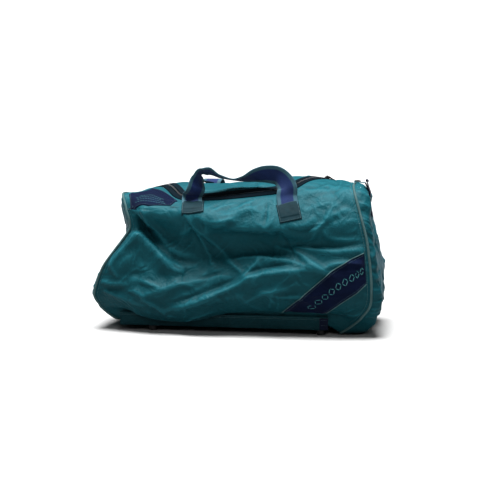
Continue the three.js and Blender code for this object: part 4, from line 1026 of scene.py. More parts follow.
def webbing(name, middle, edge, half_width, edge_share):
    """Ribbed webbing: slanted ribs, a plain border on both edges, colour changing by stripe."""
    shade = Shade(name, {"Sheen Weight": 0.08, "Sheen Roughness": 0.5, "Specular IOR Level": 0.12})
    across, along = shade.cloth_axes()
    where = shade.place()
    side = abs(across) / (half_width / 1000)
    border = shade.steps(side, edge_share - 0.04, edge_share + 0.04)
    ribs = ((along + abs(across) * 0.8) * (math.tau / 0.0026)).sine()
    cords = (across * (math.tau / 0.0021)).sine()
    cloud = shade.noise(where, 40.0, 3.0)
    tone = shade.blend(shade.steps(cloud, 0.25, 0.75), opaque(middle, 0.8), opaque(middle, 1.25))
    rim = shade.blend(shade.steps(cloud, 0.25, 0.75), opaque(edge, 0.8), opaque(edge, 1.2))
    striped = shade.blend(border, tone, rim)
    shaded = shade.blend((1 - ribs) * 0.18, striped, (0, 0, 0, 1))
    relief = ribs * 0.6 + cords * 0.4
    return shade.feed(colour=shaded, roughness=0.62 + cloud * 0.15, normal=shade.bump(relief, 0.0003, 0.8))


def zip_cloth(name, colour):
    """Zip tape: narrow herringbone ribs across the tape."""
    shade = Shade(name, {"Sheen Weight": 0.02, "Specular IOR Level": 0.05})
    across, along = shade.cloth_axes()
    ribs = ((along + abs(across) * 1.2) * (math.tau / 0.0014)).sine()
    cloud = shade.noise(shade.place(), 30.0)
    tone = shade.blend(shade.steps(cloud, 0.2, 0.8), opaque(colour, 0.75), opaque(colour, 1.3))
    return shade.feed(colour=tone, roughness=0.65 + cloud * 0.1, normal=shade.bump(ribs, 0.00015, 0.7))


def leatherette(name, colour, grain=900.0):
    """Coated leatherette: pebbled grain, paler rubbed spots, painted shade in the grain's hollows, a soft
    gloss.
    """
    shade = Shade(name, {"Specular IOR Level": 0.08, "Sheen Weight": 0.02})
    where = shade.place()
    cell = shade.node("ShaderNodeTexVoronoi", {"feature": "SMOOTH_F1"}, {"Vector": where, "Scale": grain})
    cloud = shade.noise(where, 55.0, 4.0, 0.6)
    tone = shade.blend(shade.steps(cloud, 0.3, 0.75), opaque(colour, 0.8), opaque(colour, 1.3))
    # Painted shade: the colour darkens in the grain's hollows, where its bump dips.
    creased = shade.blend(shade.steps(cell, 0.35, 0.75) * 0.4, tone, opaque(colour, 0.5))
    return shade.feed(colour=creased, roughness=0.58 + cloud * 0.18, normal=shade.bump(1 - cell, 0.0003, 0.5))


def moulded(name, colour, rough=0.5):
    """Moulded plastic or rubber: fine spark grain and dull scuffs."""
    shade = Shade(name, {"Specular IOR Level": 0.5})
    where = shade.place()
    grain = shade.noise(where, 1400.0, 2.0)
    scuff = shade.noise(where, 70.0, 5.0, 0.65, 1.0)
    rubbed = opaque([c * 1.8 + 0.01 for c in colour])
    tone = shade.blend(shade.steps(scuff, 0.5, 0.75), opaque(colour), rubbed)
    return shade.feed(colour=tone, roughness=rough + scuff * 0.2, normal=shade.bump(grain, 0.00015, 0.35))


def plated(name, colour):
    """Bright plated steel: a mirror finish with hairline scratches and a few dull spots."""
    shade = Shade(name, {"Metallic": 1.0})
    where = shade.place()
    spots = shade.noise(where, 180.0, 4.0, 0.6)
    tone = shade.blend(shade.steps(spots, 0.55, 0.8), opaque(colour), opaque(colour, 0.7))
    hair = shade.noise(where, 900.0, 2.0, 0.5, 3.0)
    return shade.feed(colour=tone, roughness=0.18 + shade.steps(spots, 0.5, 0.8) * 0.2,
                      normal=shade.bump(hair, 0.00004, 0.4))


def twisted_thread(name, colour):
    """Sewing thread: a fine noise in its tone, roughness and bump."""
    shade = Shade(name, {"Sheen Weight": 0.3, "Specular IOR Level": 0.3})
    cloud = shade.noise(shade.place(), 1200.0, 2.0)
    tone = shade.blend(cloud, opaque(colour, 0.7), opaque(colour, 1.3))
    return shade.feed(colour=tone, roughness=0.5 + cloud * 0.2, normal=shade.bump(cloud, 0.0001, 0.5))


# What a user would change

def size_property(label, words, default, low, high):
    return bpy.props.FloatProperty(
        name=label, description=f"{words}, in millimetres", default=default, min=low, max=high)


def colour_property(label, words, default):
    return bpy.props.FloatVectorProperty(
        name=label, description=words, subtype="COLOR", size=3, min=0, max=1, default=default)


class BagSizes(bpy.types.PropertyGroup):
    """Sizes of the cloth, the seams and the trim, in millimetres."""
    cloth: size_property("Cloth", "Thickness of the cloth", 1.0, 0.3, 2)
    crease_height: size_property("Crease height", "Height of the random creases", 2.6, 0, 6)
    stitch_pitch: size_property("Stitch pitch", "Gap between stitches", 3.4, 1.5, 8)
    zip_pitch: size_property("Zip pitch", "Gap between coil teeth", 2.0, 1, 6)


class BagColours(bpy.types.PropertyGroup):
    """Colours of the bag's materials."""
    nylon: colour_property("Nylon", "Main cloth", (0.0045, 0.064, 0.080))
    navy: colour_property("Navy", "Webbing, badge and band", (0.0035, 0.008, 0.027))
    strap_edge: colour_property("Strap edge", "Borders of the handle webbing", (0.042, 0.105, 0.135))
    tape: colour_property("Zip tape", "Woven tape of the zip", (0.0012, 0.0068, 0.0115))
    patch: colour_property("Patch", "Leatherette under the handles", (0.0055, 0.022, 0.029))
    piping: colour_property("Piping", "Covered cord of the end seams", (0.052, 0.098, 0.102))
    thread: colour_property("Thread", "Stitches", (0.035, 0.09, 0.10))
    bright_thread: colour_property("Bright thread", "Rows on the badge and the band", (0.03, 0.19, 0.19))
    plastic: colour_property("Plastic", "Feet and slider", (0.005, 0.006, 0.007))
    steel: colour_property("Steel", "Rings", (0.78, 0.79, 0.80))


def palette():
    """The materials, made once and then found by name."""
    colours = bpy.context.scene.bag_colours
    faded_navy = [c * 3.4 for c in colours.navy]
    made = {
        "nylon": lambda: nylon_cloth("nylon", colours.nylon),
        "base_cloth": lambda: nylon_cloth("base_cloth", [c * 0.6 for c in colours.nylon]),
        "strap": lambda: webbing("strap", faded_navy, colours.strap_edge, STRAP_WIDTH / 2, 0.62),
        "tab": lambda: webbing("tab", colours.navy, [c * 1.3 for c in colours.navy], TAB_WIDTH / 2, 0.8),
        "navy_cloth": lambda: zip_cloth("navy_cloth", colours.navy),
        "tape": lambda: zip_cloth("tape", colours.tape),
        "coil": lambda: moulded("coil", colours.tape, 0.35),
        "patch": lambda: leatherette("patch", colours.patch),
        "piping": lambda: leatherette("piping", colours.piping, 1500.0),
        "thread": lambda: twisted_thread("thread", colours.thread),
        "bright_thread": lambda: twisted_thread("bright_thread", colours.bright_thread),
        "plastic": lambda: moulded("plastic", colours.plastic),
        "steel": lambda: plated("steel", colours.steel),
    }
    return {name: bpy.data.materials.get(name) or make() for name, make in made.items()}


# Panels

# Steps of the panels' grids, and how close their edges come to the end seams and the hinge
FRONT_ROWS = 150
BACK_ROWS = 90
BOTTOM_ROWS = 16
LENGTH_STEPS = 240
TAPE_PARTS = 6
SEAM_GAP = 0.0005
HINGE_GAP = 0.005


def side_places(start, end, parts):
    """Even shares of the length from start to end."""
    return mix(start, end, np.linspace(0, 1, parts * FINENESS + 1))


def between(lower, upper, rows):
    """A grid of places from a lower to an upper edge, its two ends lying in the seams."""
    share = np.linspace(0, 1, rows + 1)[:, None]
    along = mix(lower[0][None], upper[0][None], share)
    around = mix(lower[1][None], upper[1][None], share)
    along[:, 0], along[:, -1] = SEAM_GAP, 1 - SEAM_GAP
    return along, around


def front_places():
    """A grid from the front hem up to the zip's line and the hinge on either side of it."""
    along, around = zip_line(BAND_HALF + TOUCH)
    left = side_places(0, along[0], SIDE_PARTS)[:-1]
    right = side_places(along[-1], 1, SIDE_PARTS)[1:]
    top_along = np.concatenate([left, along, right])
    top_around = np.pad(around, (left.size, right.size), constant_values=HINGE - HINGE_GAP)
    hem = np.linspace(0, 1, top_along.size)
    return between((hem, np.zeros(hem.size)), (top_along, top_around), FRONT_ROWS)


def lid_places():
    """Blend of four edges: the zip line's front and legs, and the hinge behind."""
    along, around = zip_line(-BAND_HALF - TOUCH)
    legs = [ZIP_PARTS[0] * FINENESS, (ZIP_PARTS[0] + ZIP_PARTS[1]) * FINENESS]
    grids = []
    for edge in (along, around):
        left, front, right = edge[:legs[0] + 1][::-1], edge[legs[0]:legs[1] + 1], edge[legs[1]:]
        u = np.linspace(0, 1, front.size)[None]
        v = np.linspace(0, 1, left.size)[:, None]
        hinge = mix(left[-1], right[-1], u)
        corners = mix(mix(front[0], front[-1], u), hinge, v)
        grids.append(mix(left[:, None], right[:, None], u) + mix(front[None], hinge, v) - corners)
    return grids


def strip_places(inside, outside):
    """A grid of places between two offsets of the zip line."""
    lines = [zip_line(offset) for offset in np.linspace(outside, inside, TAPE_PARTS + 1)]
    return np.stack([line[0] for line in lines]), np.stack([line[1] for line in lines])


class BAG_OT_body(bpy.types.Operator):
    """Make the front, back, bottom and lid panels"""
    bl_idname = "bag.body"
    bl_label = "Body panels"

    def execute(self, context):
        cloth = palette()["nylon"]
        thickness = context.scene.bag_sizes.cloth
        skin("cloth_front", *front_places(), cloth, thickness, "front_panel")
        along = np.linspace(SEAM_GAP, 1 - SEAM_GAP, LENGTH_STEPS + 1)
        rows = np.linspace(HINGE + HINGE_GAP, BACK_HEM, BACK_ROWS + 1)
        skin("cloth_back", *np.meshgrid(along, rows), cloth, thickness, "back_panel")
        rows = np.linspace(BACK_HEM, RAIL_COUNT, BOTTOM_ROWS + 1)
        skin("cloth_bottom", *np.meshgrid(along[::2], rows), cloth, thickness, "bottom_panel")
        skin("cloth_lid", *lid_places(), cloth, thickness, "lid_panel")
        return {"FINISHED"}


# End panels

END_CHEEK = 0.3
END_PULL = 0.12
END_ROWS = 90
END_COLUMNS = 420
ENDS = {
    "left": {"at": 0.0, "way": -1, "middle": (0.0, 0.3), "bulge": 8, "out": LEFT_OUT, "drop": LEFT_DROP},
    "right": {"at": 1.0, "way": 1, "middle": (0.0, 0.39), "bulge": 18, "out": RIGHT_OUT, "drop": RIGHT_DROP},
}


def end_surface(end, around, inward):
    """An end panel: a quarter round out from the seam to the cheek, then a shallow dome."""
    around, inward = np.broadcast_arrays(np.asarray(around, float), np.asarray(inward, float))
    index = np.floor(around).astype(int) % RAIL_COUNT
    following = (index + 1) % RAIL_COUNT
    share = ease(around - np.floor(around))
    out_table, drop_table = np.array(end["out"]), np.array(end["drop"], float)
    out = mix(out_table[index], out_table[following], share) * HALF_LENGTH
    drop = mix(drop_table[index], drop_table[following], share) * RISE
    seam = wrap(end["at"], around)
    middle = np.array([0.0, end["middle"][0] * HALF_DEPTH, BASE_TOP + end["middle"][1] * RISE])
    cheek = mix(seam, middle, END_PULL)
    cheek[..., 0] = seam[..., 0] + end["way"] * out
    cheek[..., 2] -= drop
    turn = np.clip(inward / END_CHEEK, 0, 1) * math.pi / 2
    round_part = mix(seam, cheek, (1 - np.cos(turn))[..., None])
    round_part[..., 0] = mix(seam[..., 0], cheek[..., 0], np.sin(turn))
    rest = np.clip((inward - END_CHEEK) / (1 - END_CHEEK), 0, 1)
    flat = mix(cheek, middle, rest[..., None])
    rails = wrap(end["at"], np.arange(ZIP + 1.0))
    profile = np.interp(flat[..., 2], rails[:, 2], rails[:, 0])
    level = rest * (1.5 - 0.5 * rest * rest)
    flat[..., 0] = mix(cheek[..., 0], profile + end["way"] * end["bulge"], level)
    return np.where((inward < END_CHEEK)[..., None], round_part, flat)


def end_normal(end, around, inward):
    """Outward normal of an end panel: the cross product of short steps around and inward."""
    step = 0.01
    inward = np.clip(inward, step, 1 - step)
    way = end_surface(end, around + step, inward) - end_surface(end, around - step, inward)
    rise = end_surface(end, around, inward + step) - end_surface(end, around, inward - step)
    return unit(np.cross(way, rise)) * -end["way"]


def end_cloth(end, around, inward):
    """The end panel with puckers that run in from its seam and loose creases on its middle."""
    points = end_surface(end, around, inward)
    girth = np.interp(around, np.arange(16), GIRTH)
    seed = 40 + end["way"]
    pucker = (drifting_noise(girth, inward * 40, 9, seed)
              + 0.6 * drifting_noise(girth, inward * 20, 5, seed + 5))
    near_seam = ease(inward / 0.06) * ease((0.55 - inward) / 0.4)
    across, up = points[..., 1] + 6 * drifting_noise(points[..., 1], points[..., 2], 40, seed), points[..., 2]
    area = (-HALF_DEPTH, HALF_DEPTH, 0, HEIGHT)
    creased = crease_layers(across, up, END_CREASES, area, seed)
    free = ease(inward / 0.1) * ease((1 - inward) / 0.02)
    lift = 1.5 * pucker * near_seam + creased * free
    return points + end_normal(end, around, inward) * lift[..., None]


class BAG_OT_ends(bpy.types.Operator):
    """Make the two round end panels"""
    bl_idname = "bag.ends"
    bl_label = "End panels"

    def execute(self, context):
        for side, end in ENDS.items():
            piece = self.make_end(side, end, palette()["nylon"])
            thicken(piece, context.scene.bag_sizes.cloth)
        return {"FINISHED"}

    def make_end(self, side, end, cloth):
        """A grid from the seam in towards the middle, closed there by a fan round one point."""
        around = np.linspace(0, RAIL_COUNT, END_COLUMNS, endpoint=False)
        inward = np.linspace(0, 1, END_ROWS) ** 1.1
        grid_around, grid_inward = np.meshgrid(around, inward[:-1])
        rings = end_cloth(end, grid_around, grid_inward)
        middle = end_surface(end, 0.0, 1.0).reshape(1, 3)
        points = np.concatenate([rings.reshape(-1, 3), middle])
        count = len(points) - 1
        last = count - END_COLUMNS
        faces = grid_faces(*grid_around.shape, close_columns=True).tolist()
        faces += [[last + k, last + (k + 1) % END_COLUMNS, count] for k in range(END_COLUMNS)]
        if end["way"] > 0:
            faces = [face[::-1] for face in faces]
        crest = np.append(crest_of(rings, end_normal(end, grid_around, grid_inward)).ravel(), 0.0)
        return make_piece(f"cloth_end_{side}", points, faces, cloth, "teal_nylon", (f"end_panel_{side}",),
                          uv=points[:, 1:], crest=crest)


PIPING_STEPS = 620
SEAM_STITCH_INSET = 0.014


class BAG_OT_piping(bpy.types.Operator):
    """Make the covered cords of the end seams, with the stitches beside them"""
    bl_idname = "bag.piping"
    bl_label = "Piping"

    def execute(self, context):
        materials = palette()
        runs = []
        for side, end in ENDS.items():
            around = np.linspace(0, RAIL_COUNT, PIPING_STEPS, endpoint=False)
            path = wrap(end["at"], around)
            middle = path.mean(0)
            wobble = 0.5 * drifting_noise(around * 40, 0 * around, 14, 7)
            path = path + unit(path - middle) * wobble[:, None]
            _, side_way, up_way = path_frames(path, path - middle, closed=True)
            points, faces = sweep(path, side_way, up_way, ring_profile(PIPING_RADIUS, 14), closed=True)
            make_piece(f"cord_{side}", points, outward(points, faces), materials["piping"], "grey_piping",
                       (f"piping_{side}",))
            line_at = abs(end["at"] - SEAM_STITCH_INSET)
            beside = folded(line_at, around, crumpled=True)
            normals = normal_of(wrap, line_at, around)
            seen = (around > LIP) & (around < BACK_LIP)
            runs.append(stitch_run((beside + normals * 0.3)[seen], normals[seen],
                                   context.scene.bag_sizes.stitch_pitch, SEAM_THREAD))
        stitches("seam_stitches", runs, materials["thread"])
        return {"FINISHED"}


TAPE_LIFT = 0.25
TAPE_THICKNESS = 0.8

# The slider: distance forward and share of the width of its plates' outline, height and width
# of the two plates, and the paths of bow and pull as distances forward and up
SLIDER_OUTLINE = np.array([(-6.5, 0.30), (-4.5, 0.44), (0, 0.5), (3.5, 0.46), (6.5, 0.22)])
SLIDER_PLATES = ((-1.1, 9.6), (0.9, 8.6))
SLIDER_BOW = ((-4, 1.2), (-3.4, 3.4), (0, 4.4), (3.4, 3.4), (4, 1.2))
SLIDER_PULL = ((0, 3.0), (5, 3.6), (12, 2.4), (20, 1.7), (26, 1.6))


class BAG_OT_zip(bpy.types.Operator):
    """Make the zip's two tapes, its coil and its slider"""
    bl_idname = "bag.zip"
    bl_label = "Zip"

    def execute(self, context):
        materials = palette()
        pitch = context.scene.bag_sizes.stitch_pitch * CLOSE_STITCHES
        runs = []
        tapes = (("body", COIL_HALF + TOUCH, BAND_HALF), ("lid", -BAND_HALF, -COIL_HALF - TOUCH))
        for name, inside, outside in tapes:
            along, around = strip_places(inside, outside)
            points = folded(along, around)
            normals = normal_of(wrap, along, around)
            across = np.linspace(outside, inside, along.shape[0])[:, None]
            length = lengths_over(points)[..., 0]
            uv = np.stack(np.broadcast_arrays(across, length), -1)
            faces = grid_faces(*along.shape)[:, ::-1]
            tape = make_piece(f"zip_ribbon_{name}", points + normals * TAPE_LIFT, faces, materials["tape"],
                              "zip_tape", (f"zip_tape_{name}",), uv=uv)
            thicken(tape, TAPE_THICKNESS)
            for share in (0.86, 0.62):
                line = zip_line(math.copysign(BAND_HALF, inside) * share)
                seam = folded(*line)
                up = normal_of(wrap, *line)
                runs.append(stitch_run(seam + up * 0.4, up, pitch, TAPE_THREAD))
        stitches("zip_stitches", runs, materials["thread"], "zip_tape")
        self.make_coil(context, materials)
        self.make_slider(materials)
        return {"FINISHED"}

    def make_coil(self, context, materials):
        """Teeth: short rounded bars that cross the middle from either side in turn."""
        along, around = zip_line(0.0, fineness=2 * FINENESS)
        line = np.concatenate([folded(along, around), normal_of(wrap, along, around)], 1)
        count = int(line_length(line[:, :3]) / context.scene.bag_sizes.zip_pitch)
        even = evenly_along(line, count)
        way = unit(np.gradient(even[:, :3], axis=0))
        up = unit(even[:, 3:])
        side = np.cross(way, up)
        lean = np.where(np.arange(count) % 2, 1.0, -1.0)[:, None]
        places = even[:, :3] + up * 0.75 + side * lean * 0.5
        ways = unit(side + way * lean * 0.12)
        teeth = (places, ways, up, np.full(count, 2 * COIL_HALF - 1.2), np.full(count, 0.95))
        coil = stitches("zip_teeth", [teeth], materials["coil"], "zip_coil")
        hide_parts("zip_coil")

    def make_slider(self, materials):
        """A slider of two tapered plates with a bow, and a pull that lies on the tape."""
        low, high = node_box("zip_slider")
        middle = (low + high) / 2
        up = normal_of(wrap, *place_on_top(middle[0], middle[1]))[0]
        line = folded(*zip_line(0.0))
        nearest = np.argmin(np.linalg.norm(line - middle, axis=1))
        way = unit(line[nearest] - line[nearest - 4])
        way = unit(way - up * (way @ up))
        side = np.cross(way, up)
        parts = []
        for height, width in SLIDER_PLATES:
            path = middle + up * height + way * SLIDER_OUTLINE[:, :1]
            section = flat_profile(1.0, 0.12, 4, 2)
            reach = np.stack(np.broadcast_arrays(2 * width * SLIDER_OUTLINE[:, 1], 9.0), -1)
            spread = section[None] * reach[:, None]
            points = path[:, None] + side * spread[..., :1] + up * spread[..., 1:]
            parts.append((points, tube_faces(*points.shape[:2])))
        for nodes, count, profile in ((SLIDER_BOW, 25, flat_profile(2.6, 1.2, 4, 2)),
                                      (SLIDER_PULL, 30, flat_profile(5.0, 1.4, 4, 4))):
            path = path_through([middle + way * forward + up * rise for forward, rise in nodes], count)
            _, side_way, up_way = path_frames(path, np.broadcast_to(side, path.shape))
            parts.append(sweep(path, side_way, up_way, profile))
        make_piece("zip_runner", *joined(parts), materials["plastic"], "black_plastic", ("zip_slider",))


class BAG_OT_base(bpy.types.Operator):
    """Make the stiff base strip, its tab and the five feet"""
    bl_idname = "bag.base"
    bl_label = "Base and feet"

    def execute(self, context):
        materials = palette()
        self.make_channel(context, materials)
        self.make_tab(materials)
        for name, (x, y) in FEET.items():
            self.make_foot(name, x * HALF_LENGTH, y * FOOT_LINE, materials)
        return {"FINISHED"}

    def make_channel(self, context, materials):
        """A shallow trough: floor, two side walls and round edges, carried along the bag."""
        outer, inner = BASE_HALF + BASE_WALL, BASE_HALF
        top = BASE_TOP + BASE_RIM
        turns = np.linspace(0, math.pi / 2, 5)[:, None]

        def arc(across, up, radius, start):
            angles = start + turns
            return (across, up) + radius * np.concatenate([np.cos(angles), np.sin(angles)], 1)

        rim = (outer - BASE_WALL / 2, top - BASE_WALL / 2, BASE_WALL / 2)
        right = np.concatenate([
            [(0, FOOT_HEIGHT)],
            arc(outer - BASE_CORNER, FOOT_HEIGHT + BASE_CORNER, BASE_CORNER, -math.pi / 2),
            arc(*rim, 0), arc(*rim, math.pi / 2)[1:],
            [(inner, BASE_TOP + 2)], [(inner - 2, BASE_TOP)], [(0, BASE_TOP)],
        ])
        left = right[1:-1][::-1] * (-1, 1)
        profile = np.concatenate([right, left])
        x = np.linspace(*BASE_ENDS, 170)
        wobble = 0.7 * drifting_noise(x, 0 * x, 35, 3)
        points = np.stack(np.broadcast_arrays(x[:, None], profile[:, 0], profile[:, 1]), -1)
        side_wall = (np.abs(points[..., 1]) > inner - 1) & (points[..., 2] > BASE_TOP)
        points[..., 1] += np.where(side_wall, np.sign(points[..., 1]) * wobble[:, None], 0)
        ripple = 0.8 * drifting_noise(points[..., 0], points[..., 1], 22, 5)
        points[..., 2] += np.where(points[..., 2] > top - 2, ripple, 0)
        uv = np.stack([points[..., 0], points[..., 1] + points[..., 2]], -1)
        faces = tube_faces(len(x), len(profile))
        make_piece("base_trough", points, outward(points, faces), materials["base_cloth"], "teal_nylon",
                   ("base_channel",), uv=uv)
        runs = []
        for depth in (3.2, 6.0):
            line = np.stack([x, -outer - 0.1 - wobble, np.full(x.size, top - depth)], -1)
            normals = np.broadcast_to(-AXIS_Y, line.shape)
            runs.append(stitch_run(line, normals, context.scene.bag_sizes.stitch_pitch, SEAM_THREAD))
        stitches("base_stitches", runs, materials["thread"])

    def make_tab(self, materials):
        """A folded webbing tab on the base wall: a flat section carried down it."""
        low, high = node_box("base_tab")
        middle = (low + high) / 2
        z = np.linspace(high[2], low[2], 24)
        path = np.stack(np.broadcast_arrays(middle[0], middle[1], z), -1)
        sides, ups = (np.broadcast_to(axis, path.shape) for axis in (AXIS_X, -AXIS_Y))
        points, faces = sweep(path, sides, ups, flat_profile(high[0] - low[0], TAB_THICKNESS))
        uv = np.stack([points[..., 0] - middle[0], points[..., 2]], -1)
        make_piece("base_loop", points, outward(points, faces), materials["tab"], "navy_webbing",
                   ("base_tab",), uv=uv)
        y = low[1] - 0.15
        rows = [row_of_stitches((low[0] + 2, y, z), (high[0] - 2, y, z), -AXIS_Y, TAB_PITCH, BASE_TAB_THREAD)
                for z in (high[2] - 3, low[2] + 9)]
        stitches("base_tab_stitches", rows, materials["thread"], "navy_webbing")

    def make_foot(self, name, x, y, materials):
        """A turned stub: a profile of radius and height carried round its axis."""
        top = FOOT_HEIGHT - 0.1
        turns = np.linspace(0, math.tau, FOOT_SIDES, endpoint=False)
        radius, height = FOOT_PROFILE[:, :1] * FOOT_RADIUS, FOOT_PROFILE[:, 1:] * top
        rings = np.stack(np.broadcast_arrays(
            x + radius * np.cos(turns), y + radius * np.sin(turns), height), -1)
        points = np.concatenate([[(x, y, 0)], rings.reshape(-1, 3), [(x, y, top)]])
        faces = (grid_faces(len(FOOT_PROFILE), FOOT_SIDES, close_columns=True) + 1).tolist()
        last = len(points) - 1 - FOOT_SIDES
        for k in range(FOOT_SIDES):
            following = (k + 1) % FOOT_SIDES
            faces += [[0, 1 + following, 1 + k], [len(points) - 1, last + k, last + following]]
        piece = make_piece(f"stub_{name}", points, outward(points, faces), materials["plastic"],
                           "black_plastic", (name,))
        bevel = piece.modifiers.new("edge", "BEVEL")
        bevel.width = 0.0002
        bevel.segments = 2
        bevel.limit_method = "ANGLE"


def strap_foot(seat, beyond, lift, facing):
    """A point over the cloth, past the edge of a patch, and the way the webbing's width points."""
    along, around = shifted(seat["along"], seat["around"], seat["sign"] * (PATCH_LENGTH / 2 + beyond))
    normal = normal_of(folded, along, around)[0]
    return folded(along, around)[0] + normal * lift, seat["across"] * facing


class BAG_OT_handles(bpy.types.Operator):
    """Make the two webbing handles and their four stitched patches"""
    bl_idname = "bag.handles"
    bl_label = "Handles"

    def execute(self, context):
        materials = palette()
        seats = patch_seats()
        self.make_strap("front", seats[:2], FRONT_STRAP, (-1, 1), HANDLE_RISE, materials)
        self.make_strap("back", seats[2:], BACK_STRAP, (1, -1), HANDLE_DROP, materials)
        pitch = context.scene.bag_sizes.stitch_pitch * CLOSE_STITCHES
        runs = []
        for seat in seats:
            runs += self.make_patch(pitch, seat, materials)
        stitches("patch_stitches", runs, materials["thread"], "grey_leatherette")
        return {"FINISHED"}

    def make_strap(self, side, seats, table, facing, rise, materials):
        """Webbing: a flat section carried along a smooth path, its width turning as it goes."""
        over = TOUCH + STRAP_THICKNESS / 2

        def feet(beyond, lift):
            return [strap_foot(seat, beyond, lift, way) for seat, way in zip(seats, facing)]

        tucked = feet(-0.55 * PATCH_LENGTH, over - 0.9)
        low = feet(2.0, over + 1.2)
        middle = (low[0][0] + low[1][0]) / 2
        rows = []
        for across, out, up, way in table:
            place = (HANDLE_MIDDLE + across * HANDLE_SPAN / 2, middle[1] + out * STRAP_WIDTH,
                     middle[2] + up * rise)
            rows.append((place, np.array(way, float)))
        if side == "front":
            high = feet(0.3 * STRAP_WIDTH, over + 4)
            rows = [high[0], *rows, high[1]]
        nodes = [tucked[0], low[0], *rows, low[1], tucked[1]]
        path = path_through([place for place, _ in nodes], STRAP_STEPS)
        width = path_through([unit(way) for _, way in nodes], STRAP_STEPS)
        _, side_way, up_way = path_frames(path, width)
        profile = flat_profile(STRAP_WIDTH, STRAP_THICKNESS, 7, 14)
        points, faces = sweep(path, side_way, up_way, profile)
        make_piece(f"strap_{side}", points, outward(points, faces), materials["strap"], "navy_webbing",
                   (f"handle_{side}",), uv=strip_map(profile, path))

    def make_patch(self, pitch, seat, materials):
        """A padded patch over the strap's end, raised where the webbing runs under it."""
        across = np.linspace(-PATCH_WIDTH / 2, PATCH_WIDTH / 2, 61)
        up = np.linspace(-PATCH_LENGTH / 2, PATCH_LENGTH / 2, 57)
        across, up = np.meshgrid(across, up)
        axes = seat["across"], seat["up"]
        reach = [(grid + seat["middle"] @ axis).ravel() for grid, axis in zip((across, up), axes)]
        along, around = find_place(*reach, *near_seat(seat, across.ravel(), up.ravel()), *axes)
        along, around = along.reshape(across.shape), around.reshape(across.shape)
        points, faces, uv, normals = covering(along, around, PATCH_THICKNESS, 1.6)
        over_strap = ease((STRAP_WIDTH / 2 + 0.5 - np.abs(across)) / 3) * ease((up + 0.31 * PATCH_LENGTH) / 4)
        points[0] += normals * (over_strap * 0.9)[..., None]
        points[0] += normals * (0.25 * drifting_noise(across, up, 7, 31))[..., None]
        make_piece(f"leather_{seat['name']}", points, outward(points, faces), materials["patch"],
                   "grey_leatherette", (seat["name"],), uv=uv)
        return [stitch_run(line + normal * 0.12, normal, pitch, PATCH_THREAD)
                for line, normal in rim_lines(points[0], normals, 3)]


def places_between(first, second, scale, counts, find):
    """A grid of places between two broken lines whose nodes pair up."""
    parts = np.linspace(0, len(first) - 1, counts[0])
    edges = []
    for nodes in (first, second):
        nodes = np.array(nodes, float) * scale
        numbers = [np.interp(parts, np.arange(len(nodes)), nodes[:, axis]) for axis in (0, 1)]
        edges.append(np.stack(numbers, -1))
    plan = mix(edges[0][None], edges[1][None], np.linspace(0, 1, counts[1])[:, None, None])
    along, around = find(plan[..., 0].ravel(), plan[..., 1].ravel())
    return along.reshape(plan.shape[:2]), around.reshape(plan.shape[:2])


TRIM_THICKNESS = 1.2
BAND_CORD_RADIUS = 1.15

# The badge's rows of thread: row of its grid, first and last column
BADGE_ROWS = ((8, 10, 70), (14, 14, 66), (20, 12, 60), (26, 20, 64))


class BAG_OT_trim(bpy.types.Operator):
    """Make the corner badge and the slanted band, with their rows of thread"""
    bl_idname = "bag.trim"
    bl_label = "Badge and band"

    def execute(self, context):
        materials = palette()
        self.make_badge(materials)
        self.make_band(materials)
        return {"FINISHED"}

    def make_badge(self, materials):
        """A thin cover between the badge's two edges, with rows of thread and a stitched rim."""
        scale = (HALF_LENGTH, HALF_DEPTH)
        along, around = places_between(BADGE_FRONT, BADGE_BACK, scale, (81, 61), place_on_top)
        around = np.maximum(around, SHOULDER + 0.02)
        points, faces, uv, normals = covering(along, around, TRIM_THICKNESS, 1.2)
        make_piece("badge_cloth", points, outward(points, faces), materials["navy_cloth"], "navy_patch",
                   ("corner_badge",), uv=uv)
        top = points[0]
        runs = []
        for row, start, end in BADGE_ROWS:
            places = row, slice(start, end)
            runs.append(stitch_run(top[places] + normals[places] * 0.2, normals[places], 5.2, BADGE_THREAD))
        stitches("badge_rows", runs, materials["bright_thread"], "navy_patch")
        rim = [stitch_run(line + normal * 0.1, normal, 2.4, BADGE_RIM_THREAD)
               for line, normal in rim_lines(top, normals, 2)]
        stitches("badge_rim", rim, materials["thread"], "navy_patch")

    def make_band(self, materials):
        """A thin cover between the band's two edges, with a fine cord along both."""
        scale = (HALF_LENGTH, HEIGHT)
        along, around = places_between(BAND_LOWER, BAND_UPPER, scale, (121, 61), place_on_front)
        points, faces, uv, normals = covering(along, around, TRIM_THICKNESS, 1.0)
        make_piece("band_cloth", points, outward(points, faces), materials["navy_cloth"], "navy_patch",
                   ("corner_band",), uv=uv)
        top = points[0]
        cords = []
        for row in (0, -1):
            line = top[row] + normals[row] * 0.9
            _, side, up = path_frames(line, normals[row])
            cords.append(sweep(line, side, up, ring_profile(BAND_CORD_RADIUS, 10)))
        make_piece("band_cords", *joined(cords), materials["piping"], "grey_piping")
        rim = [stitch_run(top[row] + normals[row] * 0.1, normals[row], 3.0, BAND_RIM_THREAD)
               for row in (4, -5)]
        stitches("band_rim", rim, materials["thread"], "navy_patch")
        self.make_diamonds(top, normals, materials)

    def make_diamonds(self, top, normals, materials):
        """A row of open diamonds, each of four slanting threads."""
        threads = []
        middle = top.shape[0] // 2
        for column in range(14, top.shape[1] - 10, 12):
            corners = [(middle, column - 5), (middle + 7, column), (middle, column + 5), (middle - 7, column)]
            for start, end in zip(corners, corners[1:] + corners[:1]):
                up = unit(normals[start] + normals[end])
                way = top[end] - top[start]
                place = (top[start] + top[end]) / 2 + up * 0.25
                threads.append((place, unit(way), up, 0.86 * np.linalg.norm(way), 0.7))
        run = tuple(np.array(column) for column in zip(*threads))
        stitches("band_diamonds", [run], materials["bright_thread"], "navy_patch")


RING_SEATS = {
    "right": {"y": -8.0, "rise": 14.5, "away": 0.0, "turn": math.pi},
    "left": {"y": 28.0, "rise": -4.0, "away": 8.0, "turn": math.pi / 2},
}


